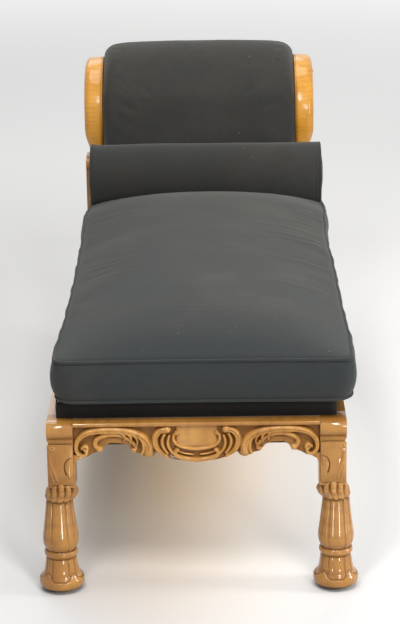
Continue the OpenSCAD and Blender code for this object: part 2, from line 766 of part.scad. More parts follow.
// an outline with half sizes a and b, from the back right corner round to the right side
function outline(a, b, r) = concat(
    arc([a - r, b - r], r, 0, 90, corner_steps), [for (s = end_share) [(a - r) * s, b]],
    arc([r - a, b - r], r, 90, 180, corner_steps), [for (s = side_share) [-a, (b - r) * s]],
    arc([r - a, r - b], r, 180, 270, corner_steps), [for (s = end_share) [-(a - r) * s, -b]],
    arc([a - r, r - b], r, 270, 360, corner_steps),
    [for (i = [len(side_share) - 1:-1:0]) [a, (b - r) * side_share[i]]]);
function drawn(p) = [p[0] * (1 - draw_in / cushion_a * (1 - pow(p[1] / cushion_b, 2))),
    p[1] * (1 - draw_in / cushion_b * (1 - pow(p[0] / cushion_a, 2)))];
function ease_in(t) = let (c = max(0, min(1, t))) c * c * (3 - 2 * c);
function under_bolster(y) = bolster_z - sqrt(max(0, pow(bolster_r, 2) - pow(y - bolster_y, 2)));
function pressed(y) = max(cushion_press * ease_in((y - press_y0) / (press_y1 - press_y0)),
    welt_top_z - under_bolster(y) + 3 * over);
function ring(inset, z) = let (share = max(0, min(1, (z - cushion_z - seat) / boxing)))
    [for (p = outline(cushion_a - inset, cushion_b - inset, max(corner_r - inset, ease)))
    let (q = drawn(p)) [q[0], q[1], z - share * pressed(q[1] + cushion_mid)]];
crown_share = [0.03, 0.08, 0.15, 0.25, 0.38, 0.55, 0.75, 0.9];
cushion_rings = concat(
    [ring(seat, cushion_z), ring(seat, cushion_z + seat), ring(welt_r / 2, cushion_z + seat),
    ring(-swell * 0.7, cushion_z + seat + boxing * 0.22), ring(-swell, cushion_z + cushion_h / 2),
    ring(-swell * 0.7, welt_top_z - seat - boxing * 0.22), ring(welt_r / 2, welt_top_z - seat),
    ring(seat, welt_top_z - seat), ring(seat, welt_top_z - over)],
    [for (u = crown_share) ring(seat + (cushion_a - seat) * u,
        welt_top_z - over + cushion_crown * (1 - pow(1 - u, 3)))]);

// closed solid through rings, whose ends are closed by strips between opposite points
module ringed(rings) {
    n = len(rings[0]);
    m = len(rings);
    back = corner_steps + (len(end_share) + 1) / 2; // the point at the middle of the back side
    function mate(i) = (2 * back - i + n) % n;
    points = [for (r = rings) each r];
    walls = [for (j = [0:m - 2], i = [0:n - 1]) let (a = j * n + i, b = j * n + (i + 1) % n)
        each [[a, b + n, b], [a, a + n, b + n]]];
    strips = [for (i = [back:back + n / 2 - 1]) let (top = (m - 1) * n)
        each concat(mate(i) == i ? [] : [[i, mate(i + 1), mate(i)],
            [top + i, top + mate(i), top + mate(i + 1)]],
            mate(i + 1) == i + 1 ? [] : [[i, i + 1, mate(i + 1)],
            [top + i, top + mate(i + 1), top + i + 1]])];
    polyhedron(points, concat(walls, strips));
}

module in_place() {
    translate([cushion_right, cushion_mid, 0]) children();
}

module seat_cushion() {
    color(black_cloth) difference() {
        in_place() ringed(cushion_rings);
        translate([-frame_w, bolster_y, bolster_z]) rotate([0, 90, 0])
            cylinder(r = bolster_r + 2 * soft_gap, h = 2 * frame_w, $fn = 128);
    }
}

// a welt: a six-sided tube along the cushion's outline at height z
module cushion_welt(z) {
    path = ring(welt_r, z);
    n = len(path);
    r = welt_r - soft_gap / 2;
    points = [for (i = [0:n - 1]) let (t = path[(i + 1) % n] - path[(i + n - 1) % n],
        side = [t[1], -t[0], 0] / norm([t[0], t[1]]))
        for (k = [0:5]) path[i] + r * cos(60 * k) * side + [0, 0, r * sin(60 * k)]];
    faces = [for (i = [0:n - 1], k = [0:5]) let (a = i * 6 + k, b = i * 6 + (k + 1) % 6,
        c = (i + 1) % n * 6 + k, d = (i + 1) % n * 6 + (k + 1) % 6) each [[a, c, b], [b, c, d]]];
    color(black_cloth) in_place() polyhedron(points, faces);
}

// bolster: a slightly bellied roll with gathered ends
gather_share = [[0.9, 0.3], [0.8, 0.62], [0.6, 0.9], [0.35, 1], [0.12, 0.85], [0, 0.7]];
end_bulge = 11; // of the gathered ends

module bolster() {
    half = bolster_l / 2;
    seat_l = half - welt_r;
    belly = [for (i = [0:8]) [bolster_r * (1 - 0.012 * pow(i / 8, 2)), seat_l * i / 8]];
    ends = concat([[bolster_r - 2.4 * welt_r, seat_l], [bolster_r - 2.4 * welt_r, half + welt_r]],
        [for (p = gather_share) [p[0] * bolster_r, half + welt_r + p[1] * end_bulge - end_bulge * 0.3]]);
    profile = concat(belly, ends);
    mirrored = [for (i = [len(profile) - 1:-1:1]) [profile[i][0], -profile[i][1]]];
    color(black_cloth) translate([cushion_right, bolster_y, bolster_z]) rotate([0, 90, 0])
        rotate_extrude($fn = 96) polygon(concat(profile, mirrored));
}

module bolster_welt(left) {
    color(black_cloth) translate([cushion_right, bolster_y, bolster_z]) on_side(left)
        translate([bolster_l / 2, 0, 0]) rotate([0, 90, 0])
        rotate_extrude($fn = 96) translate([bolster_r - 1.2 * welt_r, 0])
            circle(r = welt_r - soft_gap / 2, $fn = 24);
}

on_side(true) front_leg();  // front_leg_left
on_side(false) front_leg();  // front_leg_right
on_side(true) back_leg();  // back_leg_left
on_side(false) back_leg();  // back_leg_right
front_apron();
apron_moulding();
on_side(true) side_rail();  // side_rail_left
on_side(false) side_rail();  // side_rail_right
seat_front_rail();
seat_back_rail();
back_rail();
cross_bearer(1 / 3);  // cross_bearer_front
cross_bearer(2 / 3);  // cross_bearer_back
corner_blocks();
corner_block_screws();
webbing_long();
webbing_cross();
webbing_tacks();
deck_hessian();
deck_pad();
deck_cover();
dust_cover();
on_side(true) head_scroll();  // head_scroll_left
on_side(false) head_scroll();  // head_scroll_right
on_side(true) scroll_boss();  // scroll_boss_left
on_side(false) scroll_boss();  // scroll_boss_right
scroll_dowels();
head_crest_rail();
head_middle_rail();
head_bottom_rail();
head_webbing();
head_pad();
outside_back();
seat_cushion();
cushion_welt(welt_top_z - welt_r);  // cushion_welt_top
cushion_welt(cushion_z + welt_r);  // cushion_welt_bottom
bolster();
bolster_welt(true);  // bolster_welt_left
bolster_welt(false);  // bolster_welt_right
at_foot(false, true) caster_socket();  // caster_socket_front_left
at_foot(false, true) caster_fork();  // caster_fork_front_left
at_foot(false, true) caster_axle();  // caster_axle_front_left
at_foot(false, true) caster_wheel();  // caster_wheel_front_left
at_foot(false, false) caster_socket();  // caster_socket_front_right
at_foot(false, false) caster_fork();  // caster_fork_front_right
at_foot(false, false) caster_axle();  // caster_axle_front_right
at_foot(false, false) caster_wheel();  // caster_wheel_front_right
at_foot(true, true) caster_socket();  // caster_socket_back_left
at_foot(true, true) caster_fork();  // caster_fork_back_left
at_foot(true, true) caster_axle();  // caster_axle_back_left
at_foot(true, true) caster_wheel();  // caster_wheel_back_left
at_foot(true, false) caster_socket();  // caster_socket_back_right
at_foot(true, false) caster_fork();  // caster_fork_back_right
at_foot(true, false) caster_axle();  // caster_axle_back_right
at_foot(true, false) caster_wheel();  // caster_wheel_back_right
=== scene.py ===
import math
from contextlib import contextmanager

import bmesh
import bpy
import numpy as np
from mathutils import Matrix, Vector


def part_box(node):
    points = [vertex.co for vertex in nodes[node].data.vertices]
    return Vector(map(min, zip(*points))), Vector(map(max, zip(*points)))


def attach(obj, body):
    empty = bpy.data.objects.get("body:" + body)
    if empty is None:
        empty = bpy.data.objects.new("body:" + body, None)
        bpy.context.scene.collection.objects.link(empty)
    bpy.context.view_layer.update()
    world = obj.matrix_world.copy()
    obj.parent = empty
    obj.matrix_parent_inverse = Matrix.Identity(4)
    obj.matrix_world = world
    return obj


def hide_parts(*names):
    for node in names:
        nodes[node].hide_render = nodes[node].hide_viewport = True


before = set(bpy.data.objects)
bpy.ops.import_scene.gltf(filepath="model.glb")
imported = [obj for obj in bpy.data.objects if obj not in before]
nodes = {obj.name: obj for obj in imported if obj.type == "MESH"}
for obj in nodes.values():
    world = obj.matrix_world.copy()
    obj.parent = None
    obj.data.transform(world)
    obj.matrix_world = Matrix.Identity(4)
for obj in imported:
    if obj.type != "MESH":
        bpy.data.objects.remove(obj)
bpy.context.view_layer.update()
mm = 0.001
quarter = math.pi / 2
bothSides = (("left", -1), ("right", 1))
print("frame loaded,", len(nodes), "nodes")

# Camera and light
cameraSetup = {"focalPixels": 2200.0, "pitch": 17.4, "roll": -0.9, "yaw": 0.61,
               "place": (0.058, -5.255, 1.996), "imageHeight": 624, "sensor": 36.0}
lightSetup = {"world": 0.28, "fill": (0.95, 0.97, 1.0), "backdrop": (0.83, 0.83, 0.85)}
# side, under and tint paint light and shade on the floor: brighter to the right, a pool of light under
# the couch's right with shadow under its left, and a warm tint under the couch; contact paints a shadow
# at the feet; glow brightens the floor for the camera, more with distance
floorLook = {"base": (0.655, 0.650, 0.643), "glow": (0.20, 0.66), "glowRadius": (2.0, 7.0),
             "side": 0.10, "sideReach": 0.9, "sideFade": (1.8, 0.2), "sideRadius": (0.9, 3.2),
             "under": (-0.13, 0.58), "underX": (-0.22, 0.25), "oval": (0.36, 1.05),
             "ovalFade": (0.35, 1.25), "tint": (1.0, 0.35), "tintX": (-0.10, 0.25), "contactReach": 0.09,
             "contact": (0.15, 0.9), "glowColour": (1.0, 0.993, 0.985), "warmColour": (1.0, 0.76, 0.52),
             "halfSize": 40.0}


def makeCamera(s):
    data = bpy.data.cameras.new("camera")
    cam = bpy.data.objects.new("camera", data)
    bpy.context.scene.collection.objects.link(cam)
    data.sensor_fit = "AUTO"
    data.sensor_width = s["sensor"]
    data.lens = s["focalPixels"] * s["sensor"] / s["imageHeight"]
    data.clip_start, data.clip_end = 0.1, 100
    cam.location = s["place"]
    turn = Matrix.Rotation(math.radians(s["yaw"]), 4, "Z")
    tilt = Matrix.Rotation(math.pi / 2 - math.radians(s["pitch"]), 4, "X")
    roll = Matrix.Rotation(math.radians(s["roll"]), 4, "Z")
    cam.rotation_euler = (turn @ tilt @ roll).to_euler()
    bpy.context.scene.camera = cam


def areaLight(name, place, aim, size, power, colour=(1, 1, 1)):
    data = bpy.data.lights.new(name, "AREA")
    data.shape, data.size, data.size_y = "RECTANGLE", size[0], size[1]
    data.energy, data.color = power, colour
    lamp = bpy.data.objects.new(name, data)
    lamp.location = place
    lamp.rotation_euler = (Vector(aim) - Vector(place)).to_track_quat("-Z", "Y").to_euler()
    lamp.visible_camera = False
    bpy.context.scene.collection.objects.link(lamp)


makeCamera(cameraSetup)
bpy.context.scene.view_settings.view_transform = "Standard"
areaLight("overheadSoftbox", (-0.2, 1.0, 3.2), (0, 0.7, 0.5), (2.0, 1.6), 43, (1.0, 0.985, 0.96))
areaLight("backSoftbox", (-0.6, 3.4, 2.8), (0, 0.8, 0.6), (2.4, 1.3), 24)
for sideName, side in (("Left", -1), ("Right", 1)):
    areaLight(f"frontPanel{sideName}", (side * 0.55, -2.4, 2.9), (side * 0.1, 0.5, 0.8), (0.35, 1.1), 34)
areaLight("keySoftbox", (1.35, -3.5, 1.65), (0, -0.8, 0.35), (0.6, 0.8), 26)
areaLight("rightStrip", (2.2, -1.0, 0.95), (0, -0.5, 0.3), (0.4, 1.1), 24, (1.0, 0.98, 0.95))
for sideName, x, aimX in (("Left", -0.06, -0.29), ("Right", 0.62, 0.29)):  # glints on the turned legs
    areaLight(f"lowCard{sideName}", (x, -1.55, 0.037), (aimX, -0.9, 0.14), (0.07, 0.055), 0.42)


# Materials
def setInputs(n, **values):  # an input where the name, with spaces, is one, and a property otherwise
    for key, v in values.items():
        socket = n.inputs.get(key.replace("_", " "))
        if socket is None:
            setattr(n, key, v)
        else:
            socket.default_value = v


def wire(tree, n, links):
    for key, source in links.items():
        tree.links.new(source, n.inputs[key])


def addNode(tree, kind, links=None, **values):
    n = tree.nodes.new("ShaderNode" + kind)
    setInputs(n, **values)
    wire(tree, n, links or {})
    return n


def nodeTree(name, **values):
    mat = bpy.data.materials.new(name)
    mat.use_nodes = True
    tree = mat.node_tree
    tree.nodes.clear()
    bsdf = addNode(tree, "BsdfPrincipled", **values)
    addNode(tree, "OutputMaterial", {0: bsdf.outputs[0]})
    return mat, tree, bsdf, addNode(tree, "TexCoord").outputs["Object"]


def mixColour(tree, factor, a, b):
    n = addNode(tree, "Mix", data_type="RGBA")
    for value, socket in ((factor, 0), (a, 6), (b, 7)):
        if isinstance(value, bpy.types.NodeSocket):
            tree.links.new(value, n.inputs[socket])
        else:
            n.inputs[socket].default_value = value if socket == 0 else (*value, 1)
    return n.outputs[2]


def mathNode(tree, operation, a, b):
    n = addNode(tree, "Math", {0: a}, operation=operation)
    if isinstance(b, bpy.types.NodeSocket):
        tree.links.new(b, n.inputs[1])
    else:
        n.inputs[1].default_value = b
    return n.outputs[0]


def times(tree, a, b):
    return mathNode(tree, "MULTIPLY", a, b)


def rampValue(tree, source, low, high, fromMin=0.0, fromMax=1.0):
    return addNode(tree, "MapRange", {"Value": source}, From_Min=fromMin, From_Max=fromMax, To_Min=low,
                   To_Max=high).outputs[0]


def noise(tree, vector, scale, detail, roughness=0.5):
    n = addNode(tree, "TexNoise", {"Vector": vector}, Scale=scale, Detail=detail, Roughness=roughness)
    return n.outputs[0]


def wave(tree, vector, axis, scale, **values):
    n = addNode(tree, "TexWave", {"Vector": vector}, bands_direction=axis, Scale=scale, **values)
    return n.outputs["Fac"]


def bump(tree, height, strength, distance, under=None):
    links = {"Height": height} if under is None else {"Height": height, "Normal": under}
    return addNode(tree, "Bump", links, Strength=strength, Distance=distance).outputs[0]


def shadeOf(tree):  # the painted shade that a mesh carries in its own attribute
    return addNode(tree, "Attribute", attribute_name="shade").outputs["Fac"]


# recess is a painted shade colour for hollows, grooves and gaps; aoReach and hollow set how far and how
# strongly ambient occlusion paints it; coatLow is the thinner coat there
woodLook = {"light": (0.47, 0.226, 0.048), "mid": (0.35, 0.146, 0.025), "dark": (0.19, 0.060, 0.011),
            "recess": (0.085, 0.024, 0.005), "roughness": (0.37, 0.52), "coat": 0.8, "coatLow": 0.12,
            "coatRoughness": 0.065, "specular": 0.15, "dull": 0.8, "stripeScale": 11, "figure": 0.32,
            "aoReach": 0.020, "hollow": 0.85}
grainTurn = {"X": (0, quarter, 0), "Y": (quarter, 0, 0), "Z": (0, 0, 0)}  # these lay the grain along Z


def carvedWood(name, grain, s=woodLook, gloss=True):
    mat, t, bsdf, coord = nodeTree(name)
    along = addNode(t, "Mapping", {"Vector": coord}, Rotation=grainTurn[grain]).outputs[0]
    stretched = addNode(t, "Mapping", {"Vector": along}, Scale=(60, 60, 3.5)).outputs[0]
    fibre = noise(t, stretched, 4.0, 6.0, 0.6)
    cloud = noise(t, along, 9.0, 3.0)
    stripes = wave(t, along, "Z", s["stripeScale"], Distortion=5.0, Detail=2.0, Detail_Scale=1.6)
    patch = rampValue(t, noise(t, along, 14.0, 2.0), 0, 1, 0.42, 0.62)
    colour = mixColour(t, rampValue(t, cloud, 0, 1, 0.35, 0.68), s["light"], s["mid"])
    figured = times(t, rampValue(t, stripes, 0, s["figure"], 0.35, 1.0), patch)
    colour = mixColour(t, figured, colour, s["dark"])
    colour = mixColour(t, rampValue(t, fibre, 0, 0.4, 0.52, 0.8), colour, s["dark"])
    # Painted shade: ambient occlusion and the mesh's shade attribute darken the wood towards the recess
    # colour and thin its coat
    occlusion = addNode(t, "AmbientOcclusion", Distance=s["aoReach"], samples=6).outputs["AO"]
    depth = mathNode(t, "MAXIMUM", shadeOf(t), rampValue(t, occlusion, s["hollow"], 0, 0.30, 0.92))
    wire(t, bsdf, {"Base Color": mixColour(t, depth, colour, s["recess"]),
                   "Normal": bump(t, fibre, 0.10, 0.0004)})
    if gloss:
        wire(t, bsdf, {"Roughness": rampValue(t, cloud, *s["roughness"]),
                       "Coat Weight": rampValue(t, depth, s["coat"], s["coatLow"], 0.0, 0.7)})
        setInputs(bsdf, Specular_IOR_Level=s["specular"], Coat_Roughness=s["coatRoughness"])
    else:
        setInputs(bsdf, Roughness=s["dull"])
    return mat


# The front, rear and head tones paint light and shade by place along the seat: a lighter, cooler front, a
# warmer rear and a lighter headrest. Dusty, deep and lint are the cloth's own patches, mottling and
# specks.
clothLook = {"base": (0.0252, 0.0280, 0.0281), "front": (0.0305, 0.0350, 0.0354),
             "dusty": (0.050, 0.0515, 0.0495), "worn": (0.0335, 0.0318, 0.0278),
             "head": (0.0430, 0.0408, 0.0362), "deep": (0.0196, 0.0212, 0.0232),
             "creaseShade": (0.008, 0.008, 0.009), "lint": (0.42, 0.42, 0.38),
             "thread": 140.625, "sheen": 0.16}


def wovenCloth(name, s, lint=True):
    mat, t, bsdf, coord = nodeTree(name, Roughness=0.92, Specular_IOR_Level=0.25,
                                   Sheen_Weight=s["sheen"], Sheen_Roughness=0.45,
                                   Sheen_Tint=(0.9, 0.92, 0.86, 1))
    broad = noise(t, coord, 5.0, 4.0, 0.55)
    mottle = noise(t, coord, 55.0, 5.0, 0.65)
    along = addNode(t, "SeparateXYZ", {0: coord}).outputs[1]
    # painted light and shade by place: the front of the seat lighter, the rear warmer, the headrest
    # lighter, with broad random patches in the blend
    patchyRearShadeRamp = mathNode(t, "ADD", broad, rampValue(t, along, -0.12, 0.14, -0.9, 0.4))
    seat = mixColour(t, rampValue(t, along, 0, 1, -0.95, -0.60), s["front"], s["base"])
    paintedRearAndHead = mixColour(t, rampValue(t, along, 0, 1, 0.55, 0.78), s["worn"], s["head"])
    colour = mixColour(t, rampValue(t, patchyRearShadeRamp, 0, 1, 0.34, 0.66), seat, paintedRearAndHead)
    colour = mixColour(t, rampValue(t, broad, 0, 0.5, 0.50, 0.72), colour, s["dusty"])
    colour = mixColour(t, rampValue(t, mottle, 0, 0.35, 0.5, 0.75), colour, s["deep"])
    warp, weft, rise = [wave(t, coord, axis, s["thread"]) for axis in "XYZ"]
    weave = mathNode(t, "ADD", times(t, warp, weft), rise)
    if lint:
        cells = addNode(t, "TexVoronoi", {"Vector": coord}, Scale=38.0)
        speck = mathNode(t, "LESS_THAN", cells.outputs["Distance"], 0.028)
        chosen = mathNode(t, "GREATER_THAN", cells.outputs["Color"], 0.62)
        colour = mixColour(t, times(t, speck, chosen), colour, s["lint"])
    soft = bump(t, mottle, 0.3, 0.0012, bump(t, weave, 0.25, 0.0003))
    # painted shade in creases: the crease colour follows the mesh's shade attribute
    wire(t, bsdf, {"Base Color": mixColour(t, shadeOf(t), colour, s["creaseShade"]), "Normal": soft})
    return mat


def metalFinish(name, colour, dull, roughness):
    mat, t, bsdf, coord = nodeTree(name, Metallic=1.0)
    cloud = noise(t, coord, 120.0, 4.0)
    wire(t, bsdf, {"Base Color": mixColour(t, rampValue(t, cloud, 0, 1, 0.4, 0.7), colour, dull),
                   "Roughness": rampValue(t, cloud, roughness, roughness + 0.2),
                   "Normal": bump(t, cloud, 0.1, 0.0003)})
    return mat


def juteCloth(name, light, dark):
    mat, t, bsdf, coord = nodeTree(name, Roughness=0.95)
    weave = times(t, wave(t, coord, "X", 70.0), wave(t, coord, "Y", 70.0))
    colour = mixColour(t, rampValue(t, noise(t, coord, 80.0, 5.0), 0, 1, 0.35, 0.65), light, dark)
    wire(t, bsdf, {"Base Color": mixColour(t, rampValue(t, weave, 0.35, 0), colour, dark),
                   "Normal": bump(t, weave, 0.6, 0.0008)})
    return mat


mapleUp = carvedWood("mapleUp", "Z")
mapleAcross = carvedWood("mapleAcross", "X")
mapleAlong = carvedWood("mapleAlong", "Y")
# the scrolls' own finer figure and softer coat, with lighter colours than the legs that paint light on
# them
headLook = dict(woodLook, light=(0.76, 0.36, 0.044), mid=(0.60, 0.26, 0.026), dark=(0.30, 0.110, 0.018),
                stripeScale=26, figure=0.26, coat=0.62, coatRoughness=0.13)
mapleHead = carvedWood("mapleHead", "Z", headLook)
# a lighter copy of the leg wood: painted light on the apron, with a lighter painted shade colour in its
# hollows and a softer coat
apronLook = dict(woodLook, light=(0.63, 0.315, 0.072), mid=(0.47, 0.21, 0.038),
                 recess=(0.12, 0.038, 0.008), coat=0.68, coatRoughness=0.10)
mapleApron = carvedWood("mapleApron", "X", apronLook)
# the moulding gets a much lighter painted shade colour in its hollows
trimLook = dict(woodLook, recess=(0.30, 0.120, 0.022))
mapleTrim = carvedWood("mapleTrim", "X", trimLook)
plainLook = dict(woodLook, light=(0.42, 0.27, 0.14), mid=(0.36, 0.22, 0.10), dark=(0.22, 0.12, 0.05))
plainUp = carvedWood("plainWood", "X", plainLook, gloss=False)
charcoal = wovenCloth("charcoalCotton", clothLook)
deckBase = (0.014, 0.013, 0.012)
deckLook = dict(clothLook, front=deckBase, dusty=deckBase, base=deckBase, worn=(0.020, 0.018, 0.016),
                deep=(0.008, 0.008, 0.008), sheen=0.12)
deckCloth = wovenCloth("deckCotton", deckLook, lint=False)
brass = metalFinish("agedBrass", (0.52, 0.36, 0.13), (0.24, 0.15, 0.06), 0.3)
steel = metalFinish("dullSteel", (0.45, 0.45, 0.46), (0.25, 0.24, 0.23), 0.35)
jute = juteCloth("juteWebbing", (0.46, 0.35, 0.2), (0.2, 0.13, 0.06))
padding = juteCloth("cottonPadding", (0.62, 0.57, 0.46), (0.4, 0.35, 0.26))
print("materials made")


# Mesh helpers
def addPiece(name, mesh, mat, covers=(), body="frame"):
    o = bpy.data.objects.new(name, mesh)
    bpy.context.scene.collection.objects.link(o)
    mesh.materials.clear()
    mesh.materials.append(mat)
    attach(o, body)
    if covers:
        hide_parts(*covers)
    return o


def addCloth(name, mesh, covers=(), body="frame", mat=charcoal):
    return addPiece(name, mesh, mat, covers, body)


@contextmanager
def editing(mesh):
    bm = bmesh.new()
    bm.from_mesh(mesh)
    yield bm
    bm.to_mesh(mesh)
    bm.free()


def setShade(mesh, tone):
    layer = mesh.attributes.new("shade", "FLOAT", "POINT")
    layer.data.foreach_set("value", np.clip(tone, 0, 1).ravel().astype(np.float32))


def pointsOf(mesh):
    co = np.empty(len(mesh.vertices) * 3)
    mesh.vertices.foreach_get("co", co)
    return co.reshape(-1, 3)


def gridMesh(name, pts, wrapU=False, wrapV=False, shade=None, merge=1e-6):
    nu, nv = pts.shape[:2]
    index = np.arange(nu * nv).reshape(nu, nv)
    a = index if wrapU else index[:-1]
    b = np.roll(index, -1, 0) if wrapU else index[1:]
    if wrapV:
        quads = np.stack([a, b, np.roll(b, -1, 1), np.roll(a, -1, 1)], -1)
    else:
        quads = np.stack([a[:, :-1], b[:, :-1], b[:, 1:], a[:, 1:]], -1)
    mesh = bpy.data.meshes.new(name)
    mesh.from_pydata(pts.reshape(-1, 3).tolist(), [], quads.reshape(-1, 4).tolist())
    if shade is not None:
        setShade(mesh, shade)
    if merge:
        with editing(mesh) as bm:
            bmesh.ops.remove_doubles(bm, verts=bm.verts, dist=merge)
            bmesh.ops.dissolve_degenerate(bm, edges=bm.edges, dist=1e-7)
            bmesh.ops.recalc_face_normals(bm, faces=bm.faces)
    mesh.shade_smooth()
    return mesh


def closeEnds(mesh):
    with editing(mesh) as bm:
        bmesh.ops.holes_fill(bm, edges=[e for e in bm.edges if e.is_boundary], sides=0)
        bmesh.ops.triangulate(bm, faces=[f for f in bm.faces if len(f.verts) > 4])
        bmesh.ops.recalc_face_normals(bm, faces=bm.faces)
    return mesh


def turns(n):  # n even angles round a circle
    return np.linspace(0, 2 * np.pi, n, endpoint=False)


def smoothStep(x):
    x = np.clip(x, 0, 1)
    return x * x * (3 - 2 * x)


def arcPoints(cy, cz, r, a0, a1, n):
    a = np.radians(np.linspace(a0, a1, n))
    return np.stack([cy + r * np.cos(a), cz + r * np.sin(a)], -1)


def resample(path, n, closed=False):
    p = np.vstack([path, path[:1]]) if closed else np.asarray(path, float)
    d = np.concatenate([[0], np.cumsum(np.linalg.norm(np.diff(p, axis=0), axis=1))])
    t = np.linspace(0, d[-1], n, endpoint=not closed)
    return np.stack([np.interp(t, d, p[:, k]) for k in range(p.shape[1])], -1)


def roundedOutline(a, b, r, perCorner, n):  # a rectangle of half sizes a and b with round corners
    arcs = [arcPoints(sx * (a - r), sy * (b - r), r, turn, turn + 90, perCorner)
            for sx, sy, turn in ((1, 1, 0), (-1, 1, 90), (-1, -1, 180), (1, -1, 270))]
    return resample(np.vstack(arcs), n, closed=True)


def smoothPath(path, n, rounds=3):  # a chain rounded by cutting its corners, then evenly spaced
    p = np.asarray(path, float)
    for _ in range(rounds):
        q = np.empty((2 * len(p), p.shape[1]))
        q[0], q[-1] = p[0], p[-1]
        q[1:-1:2] = 0.75 * p[:-1] + 0.25 * p[1:]
        q[2:-1:2] = 0.25 * p[:-1] + 0.75 * p[1:]
        p = q
    return resample(p, n)


def cleanCopy(node, bevel, keepAbove=None):  # the node's own mesh, merged, with softened edges
    mesh = nodes[node].data.copy()
    mesh.name = node + "Shape"
    with editing(mesh) as bm:
        bmesh.ops.remove_doubles(bm, verts=bm.verts, dist=1e-6)
        if keepAbove is not None:
            everything = bm.verts[:] + bm.edges[:] + bm.faces[:]
            cut = bmesh.ops.bisect_plane(bm, geom=everything, plane_co=(0, 0, keepAbove),
                                         plane_no=(0, 0, 1), clear_inner=True)
            rim = [e for e in cut["geom_cut"] if isinstance(e, bmesh.types.BMEdge)]
            bmesh.ops.holes_fill(bm, edges=rim, sides=0)
        bmesh.ops.dissolve_limit(bm, angle_limit=math.radians(1.5), verts=bm.verts, edges=bm.edges)
        bmesh.ops.recalc_face_normals(bm, faces=bm.faces)
        if bevel:
            limit = math.radians(38)
            sharp = [e for e in bm.edges if len(e.link_faces) == 2 and e.calc_face_angle(0) > limit]
            bmesh.ops.bevel(bm, geom=sharp, offset=bevel, offset_type="OFFSET", segments=3, profile=0.5,
                            affect="EDGES", clamp_overlap=True)
        bmesh.ops.triangulate(bm, faces=[f for f in bm.faces if len(f.verts) > 4])
    mesh.shade_smooth()
    mesh.set_sharp_from_angle(angle=math.radians(34))
    return mesh


def cleanPiece(node, mat, bevel, name=None):  # named after its node by default
    first, *rest = node.split("_")
    name = name or first + "".join(word.title() for word in rest)
    return addPiece(name, cleanCopy(node, bevel), mat, (node,))


# Legs: upper blocks come from the frame, the turned parts from a radius by height and angle
legShape = {"footX": 296.5, "blockX": 289.5, "footBottom": 10.5, "footH": 67, "ringR": 36.5,
            "ringTube": 9.5, "vaseTop": 206, "top": 253, "neck": 28, "knuckles": 12, "knuckleWidth": 7.8,
            "knuckleOut": 8.2, "recessR": 29, "recessTop": 46.5, "angles": 192,
            "middleY": {-1: -874, 1: 760.5}}


